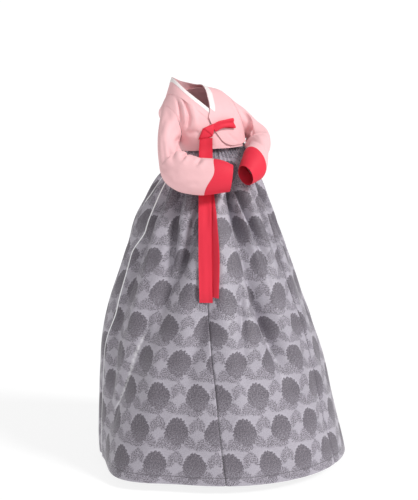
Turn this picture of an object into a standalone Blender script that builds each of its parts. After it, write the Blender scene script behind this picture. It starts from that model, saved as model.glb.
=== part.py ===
"""Korean hanbok: short jacket with red cuffs and tie, and a full pleated skirt.
Metres, +Z up, the wearer faces -Y. Origin: neck centre at shoulder level."""
import math
import bpy
from mathutils import Vector
from mathutils.bvhtree import BVHTree

NAME = "korean_hanbok"

# Cloth and seams
T_JACKET = 0.0012      # lined jacket cloth
T_SKIRT = 0.0018       # jacquard skirt cloth
T_BAND = 0.0015        # collar, collar strip and tie
SEAM = 0.0003          # gap left at a seam
LAY = 0.0017           # step outward from one jacket layer to the next

# Jacket body, before the lean is added
ARM_PLANE = 0.142      # half width between the armholes
CHEST_Z = -0.130       # height where the chest starts to round to the shoulder
LOW_Z = -0.260         # height of the lowest body section
ROUND = 2.3            # exponent of the body and chest band sections
NECK_X = 0.085         # half width of the neck cut
SHOULDER_DROP = 0.050  # fall of the shoulder line at the armhole
# shift of the wearer's right shoulder, which leans down, and of the left one, which rises, then
# the share of s where each starts and is whole
SHOULDERS = ((-1.0, (0.012, -0.020, -0.036), 0.10, 0.90), (1.0, (0.0, 0.0, 0.019), 0.35, 0.95))

# Skirt
HEM_Z = -1.435
PLEATS_PER_WIDTH = 7
UNDERLAP = 0.18        # share of a width that lies under the wrap edge

E = Vector((0.848, -0.530, 0.0))       # sideways direction of the lean
TOWARD = Vector((-0.530, -0.848, 0.0))

# height, shift of the body axis along E
LEAN = ((-0.300, 0.108), (-0.250, 0.097), (-0.200, 0.078), (-0.100, 0.035), (0.0, 0.0), (0.060, -0.016))

# height, half width, front depth, back depth
BODY = (
    (-0.262, 0.134, 0.106, 0.098),
    (-0.215, 0.142, 0.110, 0.100),
    (-0.170, 0.158, 0.112, 0.102),
    (-0.130, 0.168, 0.112, 0.102),
    (-0.060, 0.174, 0.110, 0.100),
    (0.060, 0.176, 0.108, 0.098),
)

# height, shift along E, half width, half depth, section exponent
SKIRT = (
    (-1.435, 0.1335, 0.491, 0.491, 2.00),
    (-1.380, 0.1260, 0.486, 0.486, 2.00),
    (-1.300, 0.1163, 0.475, 0.475, 2.00),
    (-1.200, 0.1060, 0.461, 0.461, 2.00),
    (-1.100, 0.0970, 0.448, 0.448, 2.00),
    (-1.000, 0.0855, 0.432, 0.432, 2.00),
    (-0.900, 0.0778, 0.408, 0.408, 2.00),
    (-0.800, 0.0715, 0.374, 0.374, 2.00),
    (-0.700, 0.0729, 0.340, 0.340, 2.00),
    (-0.600, 0.0715, 0.306, 0.306, 2.00),
    (-0.520, 0.0680, 0.278, 0.278, 2.00),
    (-0.450, 0.0715, 0.246, 0.246, 2.00),
    (-0.360, 0.0800, 0.200, 0.198, 2.00),
    (-0.310, 0.0945, 0.165, 0.152, 2.15),
    (-0.275, 0.1020, 0.142, 0.106, 2.25),
    (-0.250, 0.1015, 0.1285, 0.087, 2.30),
    (-0.185, 0.0720, 0.123, 0.087, 2.30),
)
SKIRT_ROWS = (-0.185, -0.245, -0.275, -0.318, -0.375, -0.450, -0.550, -0.680, -0.830, -1.000, -1.200,
              -1.435)

# the hem's spread corner: angle, how far out, half width in degrees, then its share at a height
CORNER = (-74.0, 0.068, 15.5)
CORNER_RISE = ((-1.435, 1.0), (-1.360, 0.62), (-1.200, 0.16), (-1.050, 0.0))

# angle of each width's edge round the skirt, from the front toward the wearer's left, degrees
WIDTH_EDGES = (None, -31.0, 29.0, 89.0, 149.0, 209.0)
# height, angle of the wrap edge
WRAP_EDGE = ((-1.435, -104.0), (-1.200, -103.0), (-1.000, -100.0), (-0.850, -94.0), (-0.650, -94.0),
             (-0.550, -86.0), (-0.400, -83.0), (-0.180, -84.0))

# large folds: three heights with the angle at each, depth (minus = trough), half width in degrees
FOLDS = (
    (-0.42, -8.0, -0.66, 1.0, -1.00, 4.0, -0.024, 5.0),
    (-0.42, -3.0, -0.55, 9.0, -0.78, 14.0, -0.013, 4.0),
    (-0.44, -57.0, -0.60, -57.0, -0.84, -61.0, -0.014, 5.0),
    (-0.46, -38.0, -0.60, -45.0, -1.05, -68.0, -0.014, 5.5),
    (-0.95, -66.0, -1.10, -77.0, -1.36, -98.0, -0.010, 5.0),
    (-0.42, -76.0, -0.65, -86.0, -1.20, -93.0, -0.018, 4.5),
    (-0.42, 33.0, -0.54, 44.0, -0.90, 52.0, -0.018, 5.5),
    (-0.90, -33.0, -1.02, -42.0, -1.25, -47.0, -0.008, 6.0),
    (-0.50, -22.0, -0.75, -22.0, -1.30, -20.0, 0.010, 7.0),
    (-0.44, 66.0, -0.62, 70.0, -1.05, 76.0, -0.016, 5.5),
    (-0.43, 98.0, -0.66, 101.0, -1.20, 97.0, -0.020, 5.0),
    (-0.45, 126.0, -0.60, 121.0, -0.92, 119.0, -0.014, 5.5),
    (-0.42, 152.0, -0.70, 158.0, -1.15, 162.0, -0.021, 5.0),
    (-0.44, 180.0, -0.58, 177.0, -0.88, 171.0, -0.013, 5.5),
    (-0.43, 204.0, -0.64, 200.0, -1.22, 206.0, -0.019, 5.0),
    (-0.46, 232.0, -0.68, 236.0, -1.00, 241.0, -0.015, 5.5),
    (-0.60, 138.0, -0.85, 140.0, -1.32, 141.0, 0.009, 7.0),
)

# Sleeve rings past the armhole: outer line point, inner line point, half width across, plan
# angle of the across direction (None = square to the sleeve's own line)
RIGHT_SLEEVE = (
    ((-0.133, -0.030, -0.109), (-0.084, -0.060, -0.228), 0.059, 14.0),
    ((-0.156, -0.049, -0.156), (-0.090, -0.083, -0.238), 0.058, 24.0),
    ((-0.178, -0.076, -0.210), (-0.096, -0.110, -0.250), 0.058, 30.0),
    ((-0.195, -0.112, -0.280), (-0.104, -0.140, -0.258), 0.058, 32.0),
    ((-0.205, -0.160, -0.350), (-0.108, -0.170, -0.264), 0.057, None),
    ((-0.185, -0.215, -0.388), (-0.103, -0.203, -0.271), 0.053, None),
    ((-0.145, -0.252, -0.404), (-0.087, -0.243, -0.277), 0.048, None),
    ((-0.098, -0.277, -0.409), (-0.058, -0.280, -0.279), 0.044, None),
)
RIGHT_CUFF = (
    ((-0.058, -0.298, -0.404), (-0.029, -0.300, -0.286), 0.042, None),
    ((-0.014, -0.316, -0.397), (-0.001, -0.318, -0.301), 0.038, None),
)
LEFT_SLEEVE = (
    ((0.199, -0.025, -0.066), (0.228, -0.066, -0.206), 0.056, 4.0),
    ((0.226, -0.059, -0.095), (0.236, -0.087, -0.222), 0.057, 14.0),
    ((0.252, -0.098, -0.137), (0.232, -0.110, -0.228), 0.057, 28.0),
    ((0.268, -0.150, -0.175), (0.207, -0.134, -0.232), 0.055, 32.0),
    ((0.244, -0.208, -0.225), (0.173, -0.167, -0.236), 0.050, None),
    ((0.186, -0.260, -0.289), (0.139, -0.217, -0.234), 0.047, None),
    ((0.141, -0.301, -0.347), (0.104, -0.260, -0.240), 0.044, None),
)
LEFT_CUFF = (
    ((0.113, -0.312, -0.362), (0.076, -0.274, -0.274), 0.040, None),
    ((0.079, -0.319, -0.373), (0.051, -0.289, -0.309), 0.036, None),
)
RING = 24              # points round a sleeve

# Collar band: x and height of its lower edge and of its upper edge on the body, 1 = front or
# -1 = back, and how far its upper edge stands up (a height over the shoulder line means on it)
GIT = (
    (0.006, -0.176, 0.036, -0.144, 1, 0.0),
    (-0.034, -0.136, 0.001, -0.106, 1, 0.0),
    (-0.073, -0.083, -0.037, -0.056, 1, 0.0),
    (-0.090, -0.040, -0.058, -0.022, 1, 0.010),
    (-0.096, 0.010, -0.068, 0.010, 1, 0.040),
    (-0.084, -0.034, -0.052, -0.010, -1, 0.041),
    (0.000, -0.040, 0.000, -0.014, -1, 0.027),
    (0.084, -0.034, 0.052, -0.010, -1, 0.012),
    (0.100, 0.010, 0.060, 0.010, 1, 0.005),
    (0.084, -0.046, 0.040, -0.020, 1, 0.0),
    (0.056, -0.083, 0.014, -0.056, 1, 0.0),
    (0.020, -0.130, -0.010, -0.096, 1, 0.0),
    (-0.012, -0.150, -0.024, -0.116, 1, 0.0),
    (-0.034, -0.158, -0.034, -0.126, 1, 0.0),
)
GIT_STEPS = 3          # wall steps from one row of GIT to the next
STRIP_FROM, STRIP_TO = 1, 11   # rows of GIT that the white strip runs between

# x, height of the outer front's lower edge, and of the necklines
OUTER_LOW = ((-0.042, -0.172), (-0.034, -0.182), (-0.026, -0.194), (-0.016, -0.214), (0.002, -0.229),
             (0.020, -0.2335), (0.062, -0.229), (0.128, -0.214), (0.200, -0.212))
NECKLINE = ((-0.050, -0.162), (0.000, -0.130), (0.036, -0.084), (0.058, -0.054), (0.074, -0.031))
OUTER_EDGE = -0.042    # x of the outer front's edge
INNER_EDGE = 0.085     # x of the inner front's hidden edge
# x, height of the hem of the inner front and of the back
HEM_FRONT = ((-0.142, -0.254), (-0.106, -0.253), (-0.064, -0.246), (-0.002, -0.243), (0.085, -0.236))
HEM_BACK = ((-0.142, -0.252), (0.000, -0.240), (0.142, -0.213))


def smooth(x, lo, hi):
    t = min(1.0, max(0.0, (x - lo) / (hi - lo)))
    return t * t * (3.0 - 2.0 * t)


def track(rows, x):
    """Smooth, non-overshooting curve through the rows' columns at x."""
    if rows[0][0] > rows[-1][0]:
        rows = rows[::-1]
    x = min(rows[-1][0], max(rows[0][0], x))
    k = 0
    while k < len(rows) - 2 and x > rows[k + 1][0]:
        k += 1
    h = rows[k + 1][0] - rows[k][0]
    t = (x - rows[k][0]) / h
    out = []
    for c in range(1, len(rows[0])):
        def rate(i):
            return (rows[i + 1][c] - rows[i][c]) / (rows[i + 1][0] - rows[i][0])

        def slope(i):
            if i == 0 or i == len(rows) - 1:
                return rate(min(i, len(rows) - 2))
            a, b = rate(i - 1), rate(i)
            return 0.0 if a * b <= 0.0 else 2.0 * a * b / (a + b)

        m0, m1 = slope(k) * h, slope(k + 1) * h
        p0, p1 = rows[k][c], rows[k + 1][c]
        out.append((2 * t ** 3 - 3 * t ** 2 + 1) * p0 + (t ** 3 - 2 * t ** 2 + t) * m0
                   + (3 * t ** 2 - 2 * t ** 3) * p1 + (t ** 3 - t ** 2) * m1)
    return out[0] if len(out) == 1 else out


def along(points, u):
    """Catmull-Rom point at u (0 .. len-1) through a list of vectors or numbers."""
    n = len(points)
    u = min(n - 1.0, max(0.0, u))
    k = min(n - 2, int(u))
    t = u - k
    p1, p2 = points[k], points[k + 1]
    p0 = points[k - 1] if k > 0 else p1 * 2.0 - p2
    p3 = points[k + 2] if k + 2 < n else p2 * 2.0 - p1
    return (p1 * 2.0 + (p2 - p0) * t + (p0 * 2.0 - p1 * 5.0 + p2 * 4.0 - p3) * t ** 2
            + (p1 * 3.0 - p0 - p2 * 3.0 + p3) * t ** 3) * 0.5


def ridge(s):
    return -SHOULDER_DROP * min(1.3, abs(s)) ** 2


def height_of(s, t):
    """Height on the body at t: -1 hem, 0 chest, 1 shoulder line, 2 back, 3 back hem."""
    if t < 0.0:
        return CHEST_Z - t * (LOW_Z - CHEST_Z)
    if t > 2.0:
        return CHEST_Z + (t - 2.0) * (LOW_Z - CHEST_Z)
    return CHEST_Z + (ridge(s) - CHEST_Z) * math.sin(t * math.pi / 2)


def t_of(s, z, back=False):
    """The t whose height on the body is z."""
    if z < CHEST_Z:
        t = -(z - CHEST_Z) / (LOW_Z - CHEST_Z)
    else:
        t = math.asin(min(1.0, (z - CHEST_Z) / (ridge(s) - CHEST_Z))) * 2 / math.pi
    return 2.0 - t if back else t


def spread(z):
    """Angle that the armhole edge has on the section at height z."""
    a = track(BODY, z)[0]
    return math.asin(min(1.0, ARM_PLANE / a) ** (ROUND / 2))


def s_of(x, z):
    a = track(BODY, z)[0]
    return math.copysign(math.asin(min(1.0, abs(x) / a) ** (ROUND / 2)), x) / spread(z)


def powered(v):
    return math.copysign(abs(v) ** (2.0 / ROUND), v)


def body(s, t, lean=True):
    z = height_of(s, t)
    a, front, back = track(BODY, z)
    psi = s * spread(z)
    x = a * powered(math.sin(psi))
    f = powered(math.cos(psi))
    c = 1.0 if t < 0.0 else (-1.0 if t > 2.0 else math.cos(t * math.pi / 2))
    lift = 0.0 if t < 0.0 or t > 2.0 else math.sin(t * math.pi / 2)
    y = -(front if c > 0.0 else back) * c * f + 0.010 * lift
    p = Vector((x, y, z))
    if not lean:
        return p
    for side, shift, start, whole in SHOULDERS:
        p = p + Vector(shift) * (smooth(side * s, start, whole) * lift)
    return p + E * track(LEAN, z)


def normal(surface, u, v, hu=1e-3, hv=1e-3):
    du = surface(u + hu, v) - surface(u - hu, v)
    dv = surface(u, v + hv) - surface(u, v - hv)
    n = du.cross(dv)
    return n.normalized()


def chest(x, z, out):
    """Point on the front at x, z of the body, moved out."""
    s = s_of(x, z)
    t = t_of(s, z)
    return body(s, t) + normal(body, s, t) * out


def front_layer(x, z):
    """How far the outer front stands off, over the inner front and its collar."""
    return 2.8 * LAY * (1.0 - smooth(x, 0.088, 0.132)) * smooth(z, -0.050, -0.104)


# pieces that the tails hang on, and the triangles of their outer skins
UNDER_TAILS = ("skirt_width_1", "skirt_width_2", "front_right_inner", "front_left_outer", "git_collar",
               "dongjeong_strip", "goreum_tail_second")
REST = []


def make(name, verts, faces, colour, rough):
    mesh = bpy.data.meshes.new(name)
    mesh.from_pydata([tuple(v) for v in verts], [], faces)
    mesh.validate()
    obj = bpy.data.objects.new(name, mesh)
    GROUP.objects.link(obj)
    mat = bpy.data.materials.new(name)
    mat.use_nodes = True
    shader = mat.node_tree.nodes["Principled BSDF"]
    shader.inputs["Base Color"].default_value = (*colour, 1.0)
    shader.inputs["Roughness"].default_value = rough
    mesh.materials.append(mat)
    volume = 0.0
    for poly in mesh.polygons:
        p = [mesh.vertices[i].co for i in poly.vertices]
        for k in range(1, len(p) - 1):
            volume += p[0].dot(p[k].cross(p[k + 1]))
    if volume < 0.0:
        mesh.flip_normals()
    return obj


def wall(name, grid, thick, colour, rough=0.6, closed=False):
    """Closed wall over a grid of (point, normal) rows; closed = the columns run round a tube."""
    rows, cols = len(grid), len(grid[0])
    if name in UNDER_TAILS:
        outer = [[p + n * thick for p, n in row] for row in grid]
        for low, high in zip(outer, outer[1:]):
            for j in range(cols - 1):
                REST.append((low[j], low[j + 1], high[j + 1]))
                REST.append((low[j], high[j + 1], high[j]))
    verts = [p for row in grid for p, n in row] + [p + n * thick for row in grid for p, n in row]
    far = rows * cols

    def at(i, j):
        return i * cols + j % cols

    faces = []
    steps = cols if closed else cols - 1
    for i in range(rows - 1):
        for j in range(steps):
            a, b, c, d = at(i, j), at(i, j + 1), at(i + 1, j + 1), at(i + 1, j)
            # the same diagonal on both skins keeps the wall from crossing itself
            for x, y, z in ((a, b, c), (a, c, d)):
                faces.append((x, y, z))
                faces.append((z + far, y + far, x + far))
    for j in range(steps):
        a, b = at(0, j), at(0, j + 1)
        faces.append((b, a, a + far, b + far))
        a, b = at(rows - 1, j), at(rows - 1, j + 1)
        faces.append((a, b, b + far, a + far))
    if not closed:
        for i in range(rows - 1):
            a, b = at(i, 0), at(i + 1, 0)
            faces.append((a, b, b + far, a + far))
            a, b = at(i, cols - 1), at(i + 1, cols - 1)
            faces.append((a, a + far, b + far, b))
    return make(name, verts, faces, colour, rough)


PINK = (0.95, 0.62, 0.64)
RED = (0.80, 0.03, 0.06)
WHITE = (0.95, 0.93, 0.91)
GREY = (0.32, 0.29, 0.33)


def spaced(lo, hi, n):
    return [lo + (hi - lo) * k / n for k in range(n + 1)]


def body_panel(name, columns, low, high, rows, lift=None):
    """Panel of the body: each column runs from t = low(s) to t = high(s)."""
    grid = []
    for i in range(rows + 1):
        row = []
        for s in columns:
            t = low(s) + (high(s) - low(s)) * i / rows
            n = normal(body, s, t)
            p = body(s, t)
            if lift:
                p = p + n * lift(body(s, t, False).x, p.z)
            row.append((p, n))
        grid.append(row)
    return wall(name, grid, T_JACKET, PINK)


def neck_t(s, x_sign):
    """t of a front panel's top edge: the neckline, then the shoulder line."""
    x = x_sign * s * ARM_PLANE * 1.06
    top = 1.0 - SEAM / 0.2
    for _ in range(4):
        z = track(NECKLINE, x)
        x = x_sign * body(s, t_of(s, z), False).x
    if x >= NECK_X:
        return top
    if x > NECKLINE[-1][0]:
        k = smooth(x, NECKLINE[-1][0], NECK_X)
        return t_of(s, NECKLINE[-1][1]) * (1 - k) + top * k
    return min(top, t_of(s, track(NECKLINE, x)))


def jacket_body():
    side = 1.0 - SEAM / 0.25
    inner_end = s_of(INNER_EDGE, -0.22)
    outer_end = s_of(OUTER_EDGE, -0.16)
    right = spaced(-side, inner_end, 18)
    left = spaced(outer_end, side, 16)
    body_panel("front_right_inner", right, lambda s: t_of(s, track(HEM_FRONT, body(s, -0.6, False).x)),
               lambda s: neck_t(s, -1.0), 9)
    body_panel("front_left_outer", left,
               lambda s: t_of(s, track(OUTER_LOW, body(s, -0.6, False).x)),
               lambda s: neck_t(s, 1.0), 9, front_layer)

    def back_top(s):
        x = abs(body(s, 1.3, False).x)
        return 1.0 + SEAM / 0.2 + 0.36 * max(0.0, 1.0 - (x / (NECK_X - 0.002)) ** 2)

    body_panel("back", spaced(-side, side, 22), back_top,
               lambda s: t_of(s, track(HEM_BACK, body(s, -0.6, False).x), True), 9)


def armhole(sign, n):
    """Ring of the armhole: from the shoulder line round the back, then up the front."""
    low = -0.2155 if sign < 0 else -0.196
    stops = [t_of(1.0, low, True), t_of(1.0, low)]
    path = [body(sign, 1.0 + (stops[0] - 1.0) * k / 60) for k in range(61)]
    path += [body(sign, stops[1] + (1.0 - stops[1]) * k / 60) for k in range(61)]
    path.append(path[0])
    run = [0.0]
    for a, b in zip(path, path[1:]):
        run.append(run[-1] + (b - a).length)
    out, k = [], 0
    for j in range(n):
        d = run[-1] * j / n
        while run[k + 1] < d:
            k += 1
        f = (d - run[k]) / max(1e-9, run[k + 1] - run[k])
        out.append(path[k].lerp(path[k + 1], f) + Vector((sign * (T_JACKET + 0.0010), 0, 0)))
    return out


def sleeve_rings(sign, sleeve, cuff):
    rows = sleeve + cuff
    rings = [armhole(sign, RING)]
    mids = [(Vector(row[0]) + Vector(row[1])) / 2 for row in rows]
    for k, (o, i, w, plan) in enumerate(rows):
        o, i = Vector(o), Vector(i)
        if plan is None:
            ahead = mids[min(k + 1, len(mids) - 1)] - mids[max(k - 1, 0)]
            back = ahead.cross(o - i).normalized() * w
        else:
            back = Vector((math.sin(math.radians(plan)), math.cos(math.radians(plan)), 0.0)) * w
        if back.dot(rings[-1][RING // 4] - rings[-1][3 * RING // 4]) < 0.0:
            back = -back
        rings.append([mids[k] + (o - i) / 2 * math.cos(2 * math.pi * j / RING)
                      + back * math.sin(2 * math.pi * j / RING) for j in range(RING)])
    return rings


def sleeve_surface(rings):
    def surface(v, u):
        j = v % RING
        k = int(j)
        f = j - k
        cols = [[r[(k + d) % RING] for r in rings] for d in (-1, 0, 1, 2)]
        p = [along(c, u) for c in cols]
        return (p[1] * 2 + (p[2] - p[0]) * f + (p[0] * 2 - p[1] * 5 + p[2] * 4 - p[3]) * f ** 2
                + (p[1] * 3 - p[0] - p[2] * 3 + p[3]) * f ** 3) * 0.5
    return surface


def sleeve(side_name, sign, sleeve_rows, cuff_rows):
    rings = sleeve_rings(sign, sleeve_rows, cuff_rows)
    surface = sleeve_surface(rings)
    seam = float(len(sleeve_rows))
    end = float(len(rings) - 1)

    def grid(us):
        mid = []
        for u in us:
            centre = sum((surface(j, u) for j in range(RING)), Vector()) / RING
            row = []
            for j in range(RING):
                p = surface(j, u)
                n = normal(surface, float(j), min(max(u, 0.002), end - 0.002), 0.05, 0.002)
                if n.dot(p - centre) < 0.0:
                    n = -n
                row.append((p, n))
            mid.append(row)
        return mid

    step = SEAM / 0.045
    wall("sleeve_" + side_name, grid(spaced(0.0, seam - step, 13)), T_JACKET,
         PINK, closed=True)
    wall("cuff_" + side_name, grid(spaced(seam, end, 3)), T_JACKET, RED, closed=True)


def git_rows():
    out = []
    for xl, zl, xu, zu, way, lift in GIT:
        sl, su = s_of(xl, min(zl, 0.0)), s_of(xu, min(zu, 0.0))
        out.append(Vector((sl, t_of(sl, zl, way < 0), lift)))
        out.append(Vector((su, t_of(su, zu, way < 0), 0.0)))
    return out


def git_point(u, r):
    """Point on the collar band: u runs along its rows, r from the lower edge to the upper edge."""
    low, top = along(GIT_ROWS[0::2], u), along(GIT_ROWS[1::2], u)
    s, t = low.x + (top.x - low.x) * r, low.y + (top.y - low.y) * r
    p = body(s, t, False)
    base = LAY + 0.0004 + (1.22 * front_layer(p.x - 0.003, p.z - 0.004) if u > len(GIT) / 2 else 0.0)
    return body(s, t) + normal(body, s, t) * base + Vector((0, 0, max(0.0, low.z) * r ** 1.3))


def git_grid(us, rs):
    def surface(r, u):
        return git_point(u, r)

    grid = []
    for u in us:
        row = []
        for r in rs:
            n = normal(surface, min(max(r, 0.03), 0.97), min(max(u, 0.02), len(GIT) - 1.02), 0.02, 0.02)
            out = git_point(u, 0.0)
            if n.dot(Vector((out.x, out.y, 0.12))) < 0.0:
                n = -n
            row.append((git_point(u, r), n))
        grid.append(row)
    return grid


def collar():
    us = spaced(0.0, len(GIT) - 1.0, GIT_STEPS * (len(GIT) - 1))
    wall("git_collar", git_grid(us, (0.0, 0.2, 0.4, 0.6, 0.8, 1.0)), T_BAND, PINK)
    step = T_BAND + 0.0005
    part = us[GIT_STEPS * STRIP_FROM:GIT_STEPS * STRIP_TO + 1]
    grid = [[(p + n * step, n) for p, n in row] for row in git_grid(part, (0.6, 0.8, 0.98))]
    wall("dongjeong_strip", grid, T_BAND * 0.7, WHITE)


def wrap_edge(z):
    return track(WRAP_EDGE, z)


def skirt_angle(q, z):
    k = min(5, max(0, int(math.floor(q))))
    lo = wrap_edge(z) if k == 0 else WIDTH_EDGES[k]
    hi = wrap_edge(z) + 360.0 if k == 5 else WIDTH_EDGES[k + 1]
    if q > 6.0:
        return wrap_edge(z) + 360.0 + (q - 6.0) * (WIDTH_EDGES[1] - wrap_edge(z))
    return lo + (hi - lo) * (q - k)


def skirt_base(angle, z):
    m, rx, ry, p = track(SKIRT, z)
    a = math.radians(angle)
    sn, cs = math.sin(a), math.cos(a)
    r = 1.0 / ((abs(sn) / rx) ** p + (abs(cs) / ry) ** p) ** (1.0 / p)
    return r, m, sn, cs


def fold_depth(angle, z):
    out = 0.0
    for z0, a0, z1, a1, z2, a2, depth, width in FOLDS:
        if z > z0 + 0.10 or z < z2 - 0.16:
            continue
        at = track(((z2, a2), (z1, a1), (z0, a0)), z)
        gap = (angle - at + 180.0) % 360.0 - 180.0
        fade = smooth(z, z0 + 0.10, z0 - 0.02) * smooth(z, z2 - 0.16, z2 + 0.14)
        out += depth * fade * math.exp(-(gap / width) ** 2)
    return out


def flare(angle, z):
    """Corner of the hem spread on the floor."""
    at, depth, width = CORNER
    return depth * track(CORNER_RISE, z) * math.exp(-((angle - at) / width) ** 2)


def pleat_depth(q, z):
    wave = math.cos(2 * math.pi * PLEATS_PER_WIDTH * q)
    size = 0.0028 + 0.0022 * smooth(z, -0.26, -0.40)
    size *= smooth(z, -0.72, -0.46) * smooth(z, -0.10, -0.24)
    broad = math.cos(math.pi * PLEATS_PER_WIDTH * q + 1.1 * math.sin(2 * math.pi * q / 3))
    soft = 0.006 * smooth(z, -0.34, -0.50) * smooth(z, -1.30, -0.70)
    return size * wave + soft * broad * (0.7 + 0.3 * math.sin(4 * math.pi * q / 3))


def skirt(q, z):
    angle = skirt_angle(q, z)
    r, m, sn, cs = skirt_base(angle, z)
    r += pleat_depth(q, z) + fold_depth(angle, z) + flare((angle + 180.0) % 360.0 - 180.0, z)
    r -= 0.0060 * smooth(q, 5.80, 5.97)
    return Vector((sn * r, -cs * r, z)) + E * m


def skirt_widths():
    half = SEAM / 2
    for k in range(6):
        cols = 4 * PLEATS_PER_WIDTH
        grid = []
        for z in SKIRT_ROWS:
            trim = half / (track(SKIRT, z)[1] * 1.047)
            lo = float(k) + (0.0 if k == 0 else trim)
            hi = 6.0 + UNDERLAP if k == 5 else k + 1.0 - trim
            n_cols = cols + 5 if k == 5 else cols
            row = []
            for q in spaced(lo, hi, n_cols):
                n = normal(skirt, q, z, 2e-3, 2e-3)
                if n.dot(Vector((math.sin(math.radians(skirt_angle(q, z))),
                                 -math.cos(math.radians(skirt_angle(q, z))), 0.0))) < 0.0:
                    n = -n
                row.append((skirt(q, z), n))
            grid.append(row)
        wall("skirt_width_%d" % (k + 1), grid, T_SKIRT, GREY)


def chest_band():
    """Hidden band that carries the skirt, a plain ring under the jacket."""
    grid = []
    for z in (-0.140, -0.1844):
        m, rx, ry, p = track(SKIRT, -0.185)
        shift = track(LEAN, z)
        row = []
        for j in range(40):
            a = 2 * math.pi * j / 40
            n = Vector((math.sin(a), -math.cos(a), 0.0))
            r = 1.0 / ((abs(n.x) / rx) ** p + (abs(n.y) / ry) ** p) ** (1.0 / p)
            row.append((n * r + Vector((0, 0, z)) + E * shift, n))
        grid.append(row)
    wall("skirt_chest_band", grid, T_SKIRT, GREY, closed=True)


def rest_tree():
    corners = [c for tri in REST for c in tri]
    return BVHTree.FromPolygons(corners, [(k, k + 1, k + 2) for k in range(0, len(corners), 3)])


def rest_depth(tree, lateral, z):
    """How far toward the camera's side the cloth under a tail reaches there."""
    start = E * lateral + TOWARD * 1.0 + Vector((0, 0, z))
    hit = tree.ray_cast(start, -TOWARD)
    return hit[0].dot(TOWARD) if hit[0] else -1.0


# sideways position of each tail's centre at a height
TAIL_FRONT = ((-0.792, 0.0705), (-0.600, 0.0665), (-0.400, 0.0665), (-0.260, 0.0670), (-0.196, 0.0710))
TAIL_SECOND = ((-0.770, 0.0920), (-0.640, 0.0950), (-0.500, 0.0860), (-0.360, 0.0720), (-0.200, 0.0700))
TAIL_HALF = 0.0240


def tail(name, table, top, bottom, out, rows):
    tree = rest_tree()
    zs = spaced(bottom, top, rows)
    places = (-1.0, -0.5, 0.0, 0.5, 1.0)

    def needed(z):
        reach = [max(rest_depth(tree, track(table, z) + (a + d) * TAIL_HALF, z) for d in (-0.25, -0.12, 0.0, 0.12, 0.25))
                 for a in places]
        return [max(r, max(reach) - 0.0035) + SEAM + out for r in reach]

    depths = [needed(z) for z in zs]
    for i in range(rows):
        for f in spaced(0.06, 0.94, 11):
            least = needed(zs[i] + (zs[i + 1] - zs[i]) * f)
            for j in range(5):
                short = least[j] - depths[i][j] * (1.0 - f) - depths[i + 1][j] * f
                if short > 0.0:
                    depths[i][j] += short
                    depths[i + 1][j] += short
    for _ in range(3):
        held = [row[:] for row in depths]
        for i in range(1, rows):
            for j in range(5):
                mean = (held[i - 1][j] + held[i][j] * 2 + held[i + 1][j]) / 4
                depths[i][j] = max(mean, held[i][j])
    grid = []
    for i, z in enumerate(zs):
        row = []
        for j, a in enumerate(places):
            lateral = track(table, z) + a * TAIL_HALF
            row.append(E * lateral + TOWARD * depths[i][j] + Vector((0, 0, z)))
        grid.append(row)
    out_grid = []
    for i in range(len(grid)):
        row = []
        for j in range(5):
            du = grid[i][min(4, j + 1)] - grid[i][max(0, j - 1)]
            dv = grid[min(rows, i + 1)][j] - grid[max(0, i - 1)][j]
            n = du.cross(dv).normalized()
            if n.dot(TOWARD) < 0.0:
                n = -n
            row.append((grid[i][j], n))
        out_grid.append(row)
    wall(name, out_grid, T_BAND, RED)


# bow loop: x, height, stand-off from the body, half width
LOOP = (
    (-0.0357, -0.1705, 0.0135, 0.0150),
    (-0.0100, -0.1605, 0.0200, 0.0150),
    (0.0160, -0.1555, 0.0230, 0.0140),
    (0.0440, -0.1535, 0.0230, 0.0165),
    (0.0610, -0.1530, 0.0165, 0.0190),
    (0.0460, -0.1537, 0.0125, 0.0170),
    (0.0160, -0.1558, 0.0125, 0.0140),
    (-0.0100, -0.1608, 0.0125, 0.0145),
    (-0.0357, -0.1705, 0.0105, 0.0130),
)
KNOT = (-0.0575, -0.1745, 0.0066)     # x, height, stand-off of its back
KNOT_HALF = (0.0215, 0.0140, 0.0060)
KNOT_TURN = 22.0     # degrees that it leans with the loop


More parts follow.
